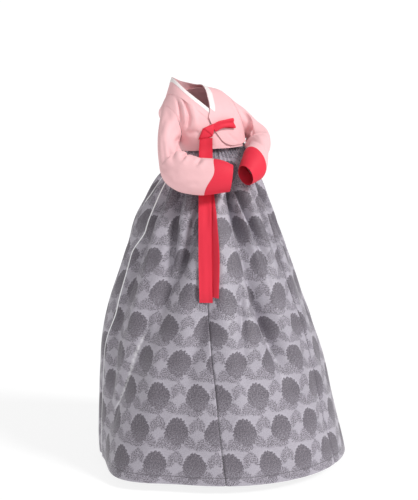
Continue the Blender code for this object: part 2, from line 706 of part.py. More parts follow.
def tie():
    tail("goreum_tail_second", TAIL_SECOND, -0.1910, -0.772, 0.0001, 22)
    tail("goreum_tail_front", TAIL_FRONT, -0.1890, -0.792, 0.0008, 22)

    pts = [chest(x, z, d) for x, z, d, w in LOOP]
    halves = [w for x, z, d, w in LOOP]
    up = Vector((-0.22, 0.0, 0.97))
    us = spaced(0.0, len(LOOP) - 1.0, 24)
    grid = []
    for u in us:
        p = along(pts, u)
        ahead = (along(pts, min(u + 0.05, len(LOOP) - 1.0)) - along(pts, max(0.0, u - 0.05))).normalized()
        w = (up - ahead * up.dot(ahead)).normalized()
        n = w.cross(ahead).normalized()
        half = along(halves, u)
        grid.append([(p + w * half * a, n) for a in (-1.0, -0.33, 0.33, 1.0)])
    wall("goreum_loop", grid, T_BAND, RED)

    x0, z0, off = KNOT
    base = chest(x0, z0, off + KNOT_HALF[2])
    out = normal(body, s_of(x0, z0), t_of(s_of(x0, z0), z0))
    side = Vector((0, 0, 1)).cross(out).normalized()
    rise = out.cross(side).normalized()
    turn = math.radians(KNOT_TURN)
    side, rise = side * math.cos(turn) + rise * math.sin(turn), rise * math.cos(turn) - side * math.sin(turn)
    verts, faces, around, levels = [], [], 20, 8
    for i in range(1, levels):
        lat = math.pi * i / levels - math.pi / 2
        for j in range(around):
            a = 2 * math.pi * j / around

            def soft(v, k=0.55):
                return math.copysign(abs(v) ** k, v)

            verts.append(base + side * KNOT_HALF[0] * soft(math.cos(lat)) * soft(math.cos(a))
                         + out * KNOT_HALF[2] * soft(math.cos(lat)) * soft(math.sin(a))
                         + rise * KNOT_HALF[1] * soft(math.sin(lat)))
    low, high = len(verts), len(verts) + 1
    verts += [base - rise * KNOT_HALF[1], base + rise * KNOT_HALF[1]]
    for i in range(levels - 2):
        for j in range(around):
            a, b = i * around + j, i * around + (j + 1) % around
            faces.append((a, b, b + around, a + around))
    for j in range(around):
        faces.append((low, (j + 1) % around, j))
        k = (levels - 2) * around
        faces.append((high, k + j, k + (j + 1) % around))
    make("goreum_knot", verts, faces, RED, 0.5)


for old in list(bpy.data.objects):
    bpy.data.objects.remove(old)
GROUP = bpy.data.collections.new(NAME)
bpy.context.scene.collection.children.link(GROUP)

GIT_ROWS = git_rows()
jacket_body()
sleeve("right", -1.0, RIGHT_SLEEVE, RIGHT_CUFF)
sleeve("left", 1.0, LEFT_SLEEVE, LEFT_CUFF)
collar()
skirt_widths()
chest_band()
tie()
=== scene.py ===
"""Korean hanbok: jacket, tie and pleated skirt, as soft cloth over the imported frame."""
import math

import bpy
import numpy as np
from mathutils import Matrix, Vector
from mathutils.bvhtree import BVHTree


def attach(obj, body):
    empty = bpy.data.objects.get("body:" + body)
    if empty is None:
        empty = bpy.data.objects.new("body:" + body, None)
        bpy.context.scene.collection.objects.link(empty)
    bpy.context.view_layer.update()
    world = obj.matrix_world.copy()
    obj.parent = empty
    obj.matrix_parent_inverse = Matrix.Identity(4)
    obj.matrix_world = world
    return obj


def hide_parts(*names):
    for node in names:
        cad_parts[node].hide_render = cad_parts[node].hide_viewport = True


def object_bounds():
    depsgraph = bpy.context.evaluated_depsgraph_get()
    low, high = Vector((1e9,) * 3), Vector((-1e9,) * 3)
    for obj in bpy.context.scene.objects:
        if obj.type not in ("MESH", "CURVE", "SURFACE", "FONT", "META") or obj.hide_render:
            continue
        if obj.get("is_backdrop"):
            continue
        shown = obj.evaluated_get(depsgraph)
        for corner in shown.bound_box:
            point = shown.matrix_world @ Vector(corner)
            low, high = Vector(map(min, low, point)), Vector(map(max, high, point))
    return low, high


bl_info = {
    "name": "Korean hanbok",
    "version": (1, 0, 0),
    "blender": (4, 5, 0),
    "location": "View3D > Sidebar > Hanbok",
    "description": "Jacket with collar, cuffs and tie, and a full pleated skirt",
    "category": "Object",
}

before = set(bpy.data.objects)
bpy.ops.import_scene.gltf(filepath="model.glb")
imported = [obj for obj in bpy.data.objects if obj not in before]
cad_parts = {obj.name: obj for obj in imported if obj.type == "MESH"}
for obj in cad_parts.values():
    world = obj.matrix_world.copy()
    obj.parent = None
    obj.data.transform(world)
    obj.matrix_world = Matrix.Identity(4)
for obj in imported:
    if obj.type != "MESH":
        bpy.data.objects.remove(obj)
CAD_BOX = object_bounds()

# Body and skirt numbers, the same as the part's source
ARM_PLANE, CHEST_Z, LOW_Z, ROUND = 0.142, -0.130, -0.260, 2.3
NECK_X, SHOULDER_DROP, LAY = 0.085, 0.050, 0.0017
PLEATS, UNDERLAP, SKIRT_HEM, SKIRT_TOP = 7, 0.18, -1.435, -0.185
# level directions: to the photo's right, and from the garment toward the camera
E = np.array((0.848, -0.530, 0.0))
TOWARD = np.array((-0.530, -0.848, 0.0))
# walls of the cloths, and the gap left at seams
JACKET_WALL, TIE_WALL, SKIRT_WALL, KNOT_WALL, SEAM_GAP = 0.0012, 0.0015, 0.0018, 0.0050, 0.0003

# side, shift, and where on the shoulder it starts and is whole
SHOULDERS = ((-1.0, (0.012, -0.020, -0.036), 0.10, 0.90), (1.0, (0.0, 0.0, 0.019), 0.35, 0.95))
# height, shift of the body axis along E
LEAN = ((-0.300, 0.108), (-0.250, 0.097), (-0.200, 0.078), (-0.100, 0.035), (0.0, 0.0), (0.060, -0.016))
# height, half width, front depth, back depth
BODY = ((-0.262, 0.134, 0.106, 0.098), (-0.215, 0.142, 0.110, 0.100), (-0.170, 0.158, 0.112, 0.102),
        (-0.130, 0.168, 0.112, 0.102), (-0.060, 0.174, 0.110, 0.100), (0.060, 0.176, 0.108, 0.098))
# height, shift along E, half width, half depth, section exponent
SKIRT = (
    (-1.435, 0.1335, 0.491, 0.491, 2.00),
    (-1.380, 0.1260, 0.486, 0.486, 2.00),
    (-1.300, 0.1163, 0.475, 0.475, 2.00),
    (-1.200, 0.1060, 0.461, 0.461, 2.00),
    (-1.100, 0.0970, 0.448, 0.448, 2.00),
    (-1.000, 0.0855, 0.432, 0.432, 2.00),
    (-0.900, 0.0778, 0.408, 0.408, 2.00),
    (-0.800, 0.0715, 0.374, 0.374, 2.00),
    (-0.700, 0.0729, 0.340, 0.340, 2.00),
    (-0.600, 0.0715, 0.306, 0.306, 2.00),
    (-0.520, 0.0680, 0.278, 0.278, 2.00),
    (-0.450, 0.0715, 0.246, 0.246, 2.00),
    (-0.360, 0.0800, 0.200, 0.198, 2.00),
    (-0.310, 0.0945, 0.165, 0.152, 2.15),
    (-0.275, 0.1020, 0.142, 0.106, 2.25),
    (-0.250, 0.1015, 0.1285, 0.087, 2.30),
    (-0.185, 0.0720, 0.123, 0.087, 2.30),
)
# where the six widths meet, in degrees from the front; the first starts at the wrap's edge, given by height
WIDTH_EDGES = (None, -31.0, 29.0, 89.0, 149.0, 209.0)
WRAP_EDGE = ((-1.435, -104.0), (-1.200, -103.0), (-1.000, -100.0), (-0.850, -94.0), (-0.650, -94.0),
             (-0.550, -86.0), (-0.400, -83.0), (-0.180, -84.0))
# the hem's flared corner: angle, how far out, half width in degrees, then its share by height
CORNER = (-74.0, 0.068, 15.5)
CORNER_RISE = ((-1.435, 1.0), (-1.360, 0.62), (-1.200, 0.16), (-1.050, 0.0))
# three heights with the angle at each, depth (minus = trough), half width in degrees
FOLDS = (
    (-0.42, -8.0, -0.66, 1.0, -1.00, 4.0, -0.024, 5.0),
    (-0.42, -3.0, -0.55, 9.0, -0.78, 14.0, -0.013, 4.0),
    (-0.44, -57.0, -0.60, -57.0, -0.84, -61.0, -0.014, 5.0),
    (-0.46, -38.0, -0.60, -45.0, -1.05, -68.0, -0.014, 5.5),
    (-0.95, -66.0, -1.10, -77.0, -1.36, -98.0, -0.010, 5.0),
    (-0.42, -76.0, -0.65, -86.0, -1.20, -93.0, -0.018, 4.5),
    (-0.42, 33.0, -0.54, 44.0, -0.90, 52.0, -0.018, 5.5),
    (-0.90, -33.0, -1.02, -42.0, -1.25, -47.0, -0.008, 6.0),
    (-0.50, -22.0, -0.75, -22.0, -1.30, -20.0, 0.010, 7.0),
    (-0.44, 66.0, -0.62, 70.0, -1.05, 76.0, -0.016, 5.5),
    (-0.43, 98.0, -0.66, 101.0, -1.20, 97.0, -0.020, 5.0),
    (-0.45, 126.0, -0.60, 121.0, -0.92, 119.0, -0.014, 5.5),
    (-0.42, 152.0, -0.70, 158.0, -1.15, 162.0, -0.021, 5.0),
    (-0.44, 180.0, -0.58, 177.0, -0.88, 171.0, -0.013, 5.5),
    (-0.43, 204.0, -0.64, 200.0, -1.22, 206.0, -0.019, 5.0),
    (-0.46, 232.0, -0.68, 236.0, -1.00, 241.0, -0.015, 5.5),
    (-0.60, 138.0, -0.85, 140.0, -1.32, 141.0, 0.009, 7.0),
)


def smooth(x, lo, hi):
    """0 below lo, 1 above hi, smooth between them."""
    t = np.clip((np.asarray(x, float) - lo) / (hi - lo), 0.0, 1.0)
    return t * t * (3.0 - 2.0 * t)


def track(rows, x):
    """Smooth, non-overshooting curves through the rows' columns at x, one array a column."""
    table = np.array(rows if rows[0][0] < rows[-1][0] else rows[::-1], float)
    xs, ys = table[:, 0], table[:, 1:]
    h = np.diff(xs)
    rate = np.diff(ys, axis=0) / h[:, None]
    slope = np.zeros_like(ys)
    slope[0], slope[-1] = rate[0], rate[-1]
    a, b = rate[:-1], rate[1:]
    total = np.where(a * b > 0.0, a + b, 1.0)
    slope[1:-1] = np.where(a * b > 0.0, 2.0 * a * b / total, 0.0)
    x = np.clip(np.asarray(x, float), xs[0], xs[-1])
    k = np.clip(np.searchsorted(xs, x, side="right") - 1, 0, len(xs) - 2)
    t = ((x - xs[k]) / h[k])[..., None]
    hk = h[k][..., None]
    out = ((2 * t ** 3 - 3 * t ** 2 + 1) * ys[k] + (t ** 3 - 2 * t ** 2 + t) * slope[k] * hk
           + (3 * t ** 2 - 2 * t ** 3) * ys[k + 1] + (t ** 3 - t ** 2) * slope[k + 1] * hk)
    return out[..., 0] if out.shape[-1] == 1 else [out[..., c] for c in range(out.shape[-1])]


def along(points, u):
    """Catmull-Rom points at u (0 .. len-1) through an array of points."""
    points = np.asarray(points, float)
    padded = np.concatenate([2 * points[:1] - points[1:2], points, 2 * points[-1:] - points[-2:-1]])
    u = np.clip(np.asarray(u, float), 0.0, len(points) - 1.0)
    k = np.minimum(u.astype(int), len(points) - 2)
    t = (u - k).reshape(u.shape + (1,) * (points.ndim - 1))
    p0, p1, p2, p3 = padded[k], padded[k + 1], padded[k + 2], padded[k + 3]
    return 0.5 * (2 * p1 + (p2 - p0) * t + (2 * p0 - 5 * p1 + 4 * p2 - p3) * t ** 2
                  + (3 * p1 - p0 - 3 * p2 + p3) * t ** 3)


def ridge(s):
    return -SHOULDER_DROP * np.minimum(1.3, np.abs(s)) ** 2


def height_of(s, t):
    """Height at t: 0 is the front of the chest, 1 the shoulder line, 2 the back."""
    drop = LOW_Z - CHEST_Z
    round_part = CHEST_Z + (ridge(s) - CHEST_Z) * np.sin(np.clip(t, 0, 2) * math.pi / 2)
    return np.where(t < 0.0, CHEST_Z - t * drop, np.where(t > 2.0, CHEST_Z + (t - 2.0) * drop, round_part))


def t_of(s, z, back=False):
    """The t that lies at height z, in front or behind."""
    low = -(z - CHEST_Z) / (LOW_Z - CHEST_Z)
    high = np.arcsin(np.clip((z - CHEST_Z) / (ridge(s) - CHEST_Z), 0.0, 1.0)) * 2 / math.pi
    t = np.where(z < CHEST_Z, low, high)
    return 2.0 - t if back else t


def spread(z):
    return np.arcsin(np.minimum(1.0, ARM_PLANE / track(BODY, z)[0]) ** (ROUND / 2))


def s_of(x, z):
    """The s, -1 to 1 from armhole to armhole, that lies at x."""
    a = track(BODY, z)[0]
    return np.sign(x) * np.arcsin(np.minimum(1.0, np.abs(x) / a) ** (ROUND / 2)) / spread(z)


def powered(v):
    return np.sign(v) * np.abs(v) ** (2.0 / ROUND)


def body(s, t, lean=True):
    """Points of the jacket's body, without its shifts unless lean is on."""
    s, t = np.broadcast_arrays(np.asarray(s, float), np.asarray(t, float))
    z = height_of(s, t)
    a, front, back = track(BODY, z)
    psi = s * spread(z)
    x = a * powered(np.sin(psi))
    f = powered(np.cos(psi))
    arc = np.clip(t, 0.0, 2.0) * math.pi / 2
    c = np.cos(arc)
    lift = np.where((t < 0.0) | (t > 2.0), 0.0, np.sin(arc))
    y = -np.where(c > 0.0, front, back) * c * f + 0.010 * lift
    p = np.stack([x, y, z], -1)
    if not lean:
        return p
    for side, shift, start, whole in SHOULDERS:
        p = p + (smooth(side * s, start, whole) * lift)[..., None] * np.array(shift)
    return p + track(LEAN, z)[..., None] * E


def unit(v):
    return v / np.maximum(1e-12, np.linalg.norm(v, axis=-1, keepdims=True))


def body_normal(s, t, h=1e-3):
    n = np.cross(body(s + h, t) - body(s - h, t), body(s, t + h) - body(s, t - h))
    return unit(n)


def chest(x, z, out):
    """Points at x and height z on the front, a distance out from it."""
    s = s_of(np.asarray(x, float), np.asarray(z, float))
    t = t_of(s, np.asarray(z, float))
    return body(s, t) + body_normal(s, t) * np.asarray(out, float)[..., None]


def front_layer(x, z):
    """How far the outer front lies off the inner one."""
    return 2.8 * LAY * (1.0 - smooth(x, 0.088, 0.132)) * smooth(z, -0.050, -0.104)


def crease(a, b, line, depth, width, taper=0.25):
    """Soft trough or ridge along a line of points in a surface's own coordinates (metres)."""
    best = np.full(a.shape, 1e9)
    share = np.zeros(a.shape)
    run = [0.0]
    for p, q in zip(line, line[1:]):
        run.append(run[-1] + math.dist(p, q))
    for k, (p, q) in enumerate(zip(line, line[1:])):
        dx, dy = q[0] - p[0], q[1] - p[1]
        t = np.clip(((a - p[0]) * dx + (b - p[1]) * dy) / (dx * dx + dy * dy), 0.0, 1.0)
        d = np.hypot(a - p[0] - t * dx, b - p[1] - t * dy)
        near = d < best
        best = np.where(near, d, best)
        share = np.where(near, (run[k] + t * (run[k + 1] - run[k])) / run[-1], share)
    ends = smooth(share, 0.0, taper) * (1.0 - smooth(share, 1.0 - taper, 1.0))
    return depth * (0.25 + 0.75 * ends) * np.exp(-(best / width) ** 2)


def maths(operation, turned=False):
    """A method of Wire that adds one Math node, its operands turned round for a reflected operator."""
    def method(self, *others):
        values = (*others, self) if turned else (self, *others)
        return node(self.tree, "ShaderNodeMath", {"operation": operation}, *values)
    return method


class Wire:
    """A node socket that adds Math nodes when it is used in an expression."""
    __add__ = maths("ADD")
    __radd__ = maths("ADD", True)
    __sub__ = maths("SUBTRACT")
    __rsub__ = maths("SUBTRACT", True)
    __mul__ = maths("MULTIPLY")
    __rmul__ = maths("MULTIPLY", True)
    __truediv__ = maths("DIVIDE")
    __rtruediv__ = maths("DIVIDE", True)
    sin = maths("SINE")
    abs = maths("ABSOLUTE")
    fract = maths("FRACT")
    floor = maths("FLOOR")
    sqrt = maths("SQRT")
    angle = maths("ARCTAN2")
    least = maths("MINIMUM")
    most = maths("MAXIMUM")

    def __init__(self, tree, socket):
        self.tree, self.socket = tree, socket

    def step(self, lo, hi):
        """0 below lo, 1 above hi, smooth between them."""
        smoothed = {"interpolation_type": "SMOOTHSTEP"}
        return node(self.tree, "ShaderNodeMapRange", smoothed, self, lo, hi, 0.0, 1.0)


def node(tree, kind, settings, *values, out=0):
    """Any node: its type, its settings, then the values or links of its sockets in order."""
    made = tree.nodes.new(kind)
    for key, value in settings.items():
        setattr(made, key, value)
    live = [s for s in made.inputs if s.enabled]
    for socket, value in zip(live, values):
        if isinstance(value, Wire):
            tree.links.new(value.socket, socket)
        else:
            socket.default_value = value
    return Wire(tree, [s for s in made.outputs if s.enabled][out])


def colour4(rgb):
    return (rgb[0], rgb[1], rgb[2], 1.0)


def mix(tree, factor, a, b):
    return node(tree, "ShaderNodeMix", {"data_type": "RGBA"}, factor, a, b)


def new_material(name, rough, sheen=0.0, sheen_rough=0.4, specular=0.5):
    mat = bpy.data.materials.new(name)
    mat.use_nodes = True
    shader = mat.node_tree.nodes["Principled BSDF"]
    shader.inputs["Roughness"].default_value = rough
    shader.inputs["Sheen Weight"].default_value = sheen
    shader.inputs["Sheen Roughness"].default_value = sheen_rough
    shader.inputs["Specular IOR Level"].default_value = specular
    return mat, mat.node_tree, shader


def feed(tree, shader, name, wire):
    tree.links.new(wire.socket, shader.inputs[name])


def uv_parts(tree):
    uv = node(tree, "ShaderNodeUVMap", {})
    u, v = (node(tree, "ShaderNodeSeparateXYZ", {}, uv, out=k) for k in range(2))
    return u, v, uv


def weave(u, v, threads):
    """Plain weave height, 0 to 1, with this many threads a metre."""
    a = (u * (threads * math.pi)).sin().abs()
    b = (v * (threads * math.pi)).sin().abs()
    over = ((u * threads).floor() + (v * threads).floor()) * 0.5
    which = (over.fract() * 2.0).step(0.4, 0.6)
    return a * which + b * (1.0 - which)


def plain_cloth(name, rgb, rough, threads, sheen, slub, specular):
    """Fine plain cloth with threads, slight slub and uneven dye."""
    mat, tree, shader = new_material(name, rough, sheen, 0.45, specular)
    u, v, uv = uv_parts(tree)
    woven = weave(u, v, threads)
    slow = node(tree, "ShaderNodeTexNoise", {}, uv, 14.0, 3.0, 0.55)
    warp = node(tree, "ShaderNodeCombineXYZ", {}, u * 900.0, v * 22.0, 0.0)
    slubs = node(tree, "ShaderNodeTexNoise", {}, warp, 1.0, 2.0, 0.5)
    tone = (slow - 0.5) * slub + (slubs - 0.5) * slub + (woven - 0.6) * slub * 0.8
    darker = tuple(c * 0.80 for c in rgb)
    lighter = tuple(min(1.0, c * 1.10 + 0.01) for c in rgb)
    feed(tree, shader, "Base Color", mix(tree, tone + 0.5, colour4(darker), colour4(lighter)))
    feed(tree, shader, "Roughness", (woven - 0.5) * 0.10 + rough)
    height = woven * 0.7 + slubs * 0.3
    feed(tree, shader, "Normal", node(tree, "ShaderNodeBump", {}, 0.15, 0.0004, 0.1, height))
    return mat


def head(x, y, radius):
    """A chrysanthemum head seen a little from the side: mask, depth of tone, petal lines, pale outline."""
    turn = y.angle(x)
    r = (x * x * 1.42 + y * y * 1.05).sqrt()
    rim = radius * (0.98 + 0.110 * (turn * 11.0).sin().abs() + 0.040 * (turn * 4.0 + 0.8).sin())
    mask = ((rim - r) / 0.0030).step(0.0, 1.0)
    halo = ((rim + 0.0065 - r) / 0.0030).step(0.0, 1.0) * (y / radius).step(-0.35, 0.45) * (1.0 - mask)
    low = y + radius * 0.62
    fan = low.angle(x)
    out = (x * x + low * low).sqrt() / radius
    ring = out * 3.7
    petals = (fan * 9.0 + ring.floor() * 1.571 + (ring.fract() - 0.5) * 0.5).sin().abs()
    line = (1.0 - petals.step(0.10, 0.55)).most((1.0 - (ring.fract() - 0.5).abs().step(0.03, 0.16)) * 0.8)
    deep = 0.80 + 0.20 * (y / radius).step(-0.75, 0.25)
    return mask, deep, line * mask, halo


def leaf(x, y, at, turn, length, width):
    """One toothed leaf: (mask, veins)."""
    c, s = math.cos(math.radians(turn)), math.sin(math.radians(turn))
    a = (x - at[0]) * c + (y - at[1]) * s
    b = ((y - at[1]) * c - (x - at[0]) * s).abs()
    teeth = (a * (2.0 * math.pi / 0.0085) + b * 500.0).sin() * width * 0.14
    half = (1.0 - (a / length) * (a / length)) * width + teeth
    mask = ((half - b) / 0.0022).step(0.0, 1.0)
    veins = 1.0 - ((a * 1.0 + b * 1.2) * (math.pi / 0.0082)).sin().abs().step(0.15, 0.65)
    return mask, veins * mask


# leaves round a head, in one repeat: place from its centre, turn in degrees, half length, half width
LEAVES = (
    ((-0.046, -0.040), 38.0, 0.037, 0.0210),
    ((0.048, -0.036), -44.0, 0.037, 0.0200),
    ((-0.010, -0.056), 4.0, 0.036, 0.0140),
    ((-0.060, 0.030), -62.0, 0.034, 0.0160),
    ((0.062, 0.022), 66.0, 0.034, 0.0170),
)
# a repeat's width and height, a head's radius, and how far out a leaf reaches into the next repeat
REPEAT, RISE, HEAD, SHARED = 0.146, 0.125, 0.0500, 0.045


# light is the pale colour of the wrap's edging and of the painted highlights
def skirt_cloth(name, ground, figure, light, rough):
    """Two-tone satin jacquard: flower heads and leaves on silver grey, each row set half over."""
    mat, tree, shader = new_material(name, rough, 0.15, 0.35, 0.55)
    u, v, uv = uv_parts(tree)
    wobble = node(tree, "ShaderNodeTexNoise", {}, uv, 26.0, 2.0, 0.5)
    fine = node(tree, "ShaderNodeTexNoise", {}, uv, 150.0, 3.0, 0.7)
    uu = u + (wobble - 0.5) * 0.014 + (fine - 0.5) * 0.014
    vv = v + (wobble - 0.5) * 0.010 + (fine - 0.5) * 0.014
    row = (vv / RISE).floor()
    x = ((uu / REPEAT + row * 0.5).fract() - 0.5) * REPEAT
    y = ((vv / RISE).fract() - 0.5) * RISE - 0.005
    mask, deep, petals, halo = head(x, y, HEAD)
    spots = [((at[0] + over, at[1]), turn, length, width) for at, turn, length, width in LEAVES
             for over in ((-REPEAT, REPEAT, 0.0) if abs(at[0]) > SHARED else (0.0,))]
    spray, veins = leaf(x, y, *spots[0])
    for spot in spots[1:]:
        more, lines = leaf(x, y, *spot)
        spray, veins = spray.most(more), veins.most(lines)
    spray, veins = spray * (1.0 - mask), veins * (1.0 - mask)
    threads = node(tree, "ShaderNodeCombineXYZ", {}, u * 210.0, v * 290.0, 0.0)
    grain = node(tree, "ShaderNodeTexNoise", {}, threads, 1.0, 3.0, 0.75)
    slow = node(tree, "ShaderNodeTexNoise", {}, uv, 5.0, 2.0, 0.5)
    speck = grain.step(0.42, 0.58) - 0.5
    ribs = (v * (1500.0 * math.pi)).sin().abs()
    tone = mask * deep + spray * 0.56 - petals * (0.36 + speck * 0.6) - veins * 0.55 - halo * 0.34
    tone = tone + 0.12 + speck * (0.24 + mask * 0.62 + spray * 0.66) + (slow - 0.5) * 0.34
    base = mix(tree, tone.most(0.0).least(1.0), colour4(ground), colour4(figure))
    edge = node(tree, "ShaderNodeAttribute", {"attribute_name": "edge"}, out=2)
    seam = node(tree, "ShaderNodeAttribute", {"attribute_name": "seam"}, out=2)
    stitch = (((v - 0.030).abs() / 0.0014).step(0.4, 1.6) * -1.0 + 1.0) * 0.45
    # painted shade: the seam attribute darkens the cloth along the seams between widths; stitch is a dark
    # line above the hem
    base = mix(tree, (seam * 0.85).most(stitch), base, colour4(tuple(c * 0.30 for c in figure)))
    # painted highlight: the edge attribute turns the cloth pale along the wrap's edge (edging and highlight)
    # and along two highlight lines
    base = mix(tree, edge, base, colour4(light))
    feed(tree, shader, "Base Color", base)
    feed(tree, shader, "Roughness", rough + mask * 0.14 + spray * 0.08 + speck * 0.10)
    height = mask * 0.4 + petals * 0.4 + spray * 0.3 + ribs * 0.25 + grain * 0.9
    feed(tree, shader, "Normal", node(tree, "ShaderNodeBump", {}, 0.30, 0.0008, 0.1, height))
    return mat


def deselect():
    if bpy.context.object and bpy.context.object.mode != "OBJECT":
        bpy.ops.object.mode_set(mode="OBJECT")
    bpy.ops.object.select_all(action="DESELECT")


def cloth(name, points, uv, thick, material, outward, wrap=False, marks=()):
    """A grid shaped to rows of points, given its wall, with the outer skin on the points."""
    rows, cols = points.shape[:2]
    deselect()
    bpy.ops.mesh.primitive_grid_add(x_subdivisions=cols - 1, y_subdivisions=rows - 1, size=1.0)
    obj = bpy.context.active_object
    obj.name = obj.data.name = name
    mesh = obj.data
    flat = np.empty(len(mesh.vertices) * 3)
    mesh.vertices.foreach_get("co", flat)
    flat = flat.reshape(-1, 3)
    j = np.rint((flat[:, 0] - flat[:, 0].min()) / np.ptp(flat[:, 0]) * (cols - 1)).astype(int)
    i = np.rint((flat[:, 1] - flat[:, 1].min()) / np.ptp(flat[:, 1]) * (rows - 1)).astype(int)
    mesh.vertices.foreach_set("co", points[i, j].reshape(-1))
    corner = np.empty(len(mesh.loops), dtype=np.int32)
    mesh.loops.foreach_get("vertex_index", corner)
    mesh.uv_layers.active.data.foreach_set("uv", uv[i[corner], j[corner]].reshape(-1))
    for label, values in marks:
        layer = mesh.attributes.new(label, "FLOAT", "POINT")
        layer.data.foreach_set("value", values[i, j].astype(np.float32))
    mesh.update()
    normals = np.empty(len(mesh.polygons) * 3)
    centres = np.empty(len(mesh.polygons) * 3)
    mesh.polygons.foreach_get("normal", normals)
    mesh.polygons.foreach_get("center", centres)
    away = outward(centres.reshape(-1, 3))
    bpy.ops.object.mode_set(mode="EDIT")
    bpy.ops.mesh.select_all(action="SELECT")
    if wrap:
        bpy.ops.mesh.remove_doubles(threshold=1e-5)
    if float((normals.reshape(-1, 3) * away).sum()) < 0.0:
        bpy.ops.mesh.flip_normals()
    bpy.ops.mesh.select_all(action="DESELECT")
    bpy.ops.object.mode_set(mode="OBJECT")
    wall = obj.modifiers.new("Wall", "SOLIDIFY")
    wall.thickness = thick
    wall.offset = -1.0
    wall.use_even_offset = False
    bpy.ops.object.modifier_apply(modifier=wall.name)
    bpy.ops.object.shade_smooth_by_angle(angle=math.radians(40.0))
    mesh.materials.clear()
    mesh.materials.append(material)
    return obj


def run_along(points):
    """Length so far along a line of points, or along the mean of a grid's columns."""
    steps = np.linalg.norm(np.diff(points, axis=0), axis=-1)
    return np.concatenate([[0.0], np.cumsum(steps.reshape(len(steps), -1).mean(axis=1))])


def in_frame(obj, nodes):
    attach(obj, "root")
    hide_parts(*nodes)


def finish_piece(obj, points, nodes, slot, held, **more):
    in_frame(obj, nodes)


# cloth that the tails lie on
REST = []
# metres of cloth that one unit of s and of t cover near the side seam and the shoulder
SIDE_RUN, SHOULDER_RUN = 0.25, 0.2


# jacket

def panel(name, nodes, s, low, high, creases, lift=None):
    """A piece of the jacket's body: columns at s, each from t = low to t = high."""
    f = np.linspace(0.0, 1.0, 90)[:, None]
    t = low[None, :] + (high - low)[None, :] * f
    s2 = np.broadcast_to(s[None, :], t.shape)
    n = body_normal(s2, t)
    p = body(s2, t)
    flat = body(s2, t, False)
    out = np.full(t.shape, JACKET_WALL)
    if lift:
        out = out + lift(flat[..., 0], flat[..., 2])
    for line, depth, width in creases:
        out = out + crease(flat[..., 0], flat[..., 2], line, depth, width)
    p = p + n * out[..., None]
    uv = np.stack([flat[..., 0], t * SHOULDER_RUN], -1)

    def outward(c):
        mid = track(LEAN, c[:, 2])[:, None] * E
        away = c - mid
        away[:, 2] = np.maximum(0.0, c[:, 2] + 0.16)
        return away

    obj = cloth(name, p, uv, JACKET_WALL, MATERIALS["jacket_cloth"], outward)
    REST.append(obj)
    finish_piece(obj, p, nodes, "jacket_cloth", "draped")


def neck_t(s, sign):
    """Where a front panel ends at the neck opening or the shoulder, on one side."""
    x = sign * s * ARM_PLANE * 1.06
    top = 1.0 - SEAM_GAP / SHOULDER_RUN
    for _ in range(4):
        z = track(NECKLINE, x)
        x = sign * body(s, t_of(s, z), False)[..., 0]
    at = t_of(s, track(NECKLINE, np.minimum(x, NECKLINE[-1][0])))
    k = smooth(x, NECKLINE[-1][0], NECK_X)
    return np.where(x >= NECK_X, top, np.minimum(top, at * (1 - k) + top * k))


# neck opening, edge of the outer front, and hems: x, height
NECKLINE = ((-0.050, -0.162), (0.000, -0.130), (0.036, -0.084), (0.058, -0.054), (0.074, -0.031))
OUTER_LOW = ((-0.042, -0.172), (-0.034, -0.182), (-0.026, -0.194), (-0.016, -0.214), (0.002, -0.229),
             (0.020, -0.2335), (0.062, -0.229), (0.128, -0.214), (0.200, -0.212))
HEM_FRONT = ((-0.142, -0.254), (-0.106, -0.253), (-0.064, -0.246), (-0.002, -0.243), (0.085, -0.236))
HEM_BACK = ((-0.142, -0.252), (0.000, -0.240), (0.142, -0.213))
# creases of the body panels: points (x, height), depth (minus = trough), half width in metres
RIGHT_FRONT_CREASES = (
    (((-0.102, -0.032), (-0.114, -0.058), (-0.129, -0.098), (-0.138, -0.150)), -0.0100, 0.0050),
    (((-0.080, -0.036), (-0.092, -0.072), (-0.104, -0.126), (-0.120, -0.156), (-0.136, -0.180)),
     -0.0110, 0.0060),
    (((-0.094, -0.046), (-0.108, -0.084), (-0.119, -0.126), (-0.130, -0.160)), 0.0055, 0.0065),
    (((-0.070, -0.060), (-0.078, -0.104), (-0.092, -0.150), (-0.112, -0.176)), 0.0045, 0.0095),
    (((-0.134, -0.190), (-0.112, -0.184), (-0.088, -0.184)), -0.0050, 0.0110),
    (((-0.100, -0.196), (-0.094, -0.226), (-0.098, -0.252)), 0.0028, 0.0120),
    (((-0.064, -0.190), (-0.058, -0.215), (-0.062, -0.246)), -0.0024, 0.0080),
    (((-0.016, -0.216), (-0.004, -0.230), (0.018, -0.240)), -0.0018, 0.0060),
)
LEFT_FRONT_CREASES = (
    (((0.128, -0.060), (0.118, -0.110), (0.124, -0.170)), -0.0055, 0.0085),
    (((0.104, -0.100), (0.092, -0.150), (0.098, -0.210)), -0.0036, 0.0085),
    (((0.114, -0.110), (0.106, -0.160), (0.110, -0.215)), 0.0034, 0.0080),
    (((0.020, -0.186), (0.034, -0.205), (0.058, -0.222)), -0.0022, 0.0080),
    (((0.080, -0.040), (0.070, -0.070), (0.050, -0.110)), 0.0016, 0.0140),
)
BACK_CREASES = (
    (((-0.118, -0.062), (-0.100, -0.125), (-0.108, -0.190)), -0.0042, 0.0090),
    (((0.116, -0.066), (0.104, -0.132), (0.098, -0.196)), -0.0038, 0.0090),
    (((-0.080, -0.110), (-0.052, -0.160), (-0.046, -0.235)), -0.0026, 0.0100),
    (((0.084, -0.128), (0.058, -0.178), (0.060, -0.240)), -0.0024, 0.0095),
    (((-0.016, -0.070), (0.008, -0.140), (-0.004, -0.230)), 0.0014, 0.0130),
)


def waist(s):
    return body(s, np.full(s.shape, -0.6), False)[..., 0]


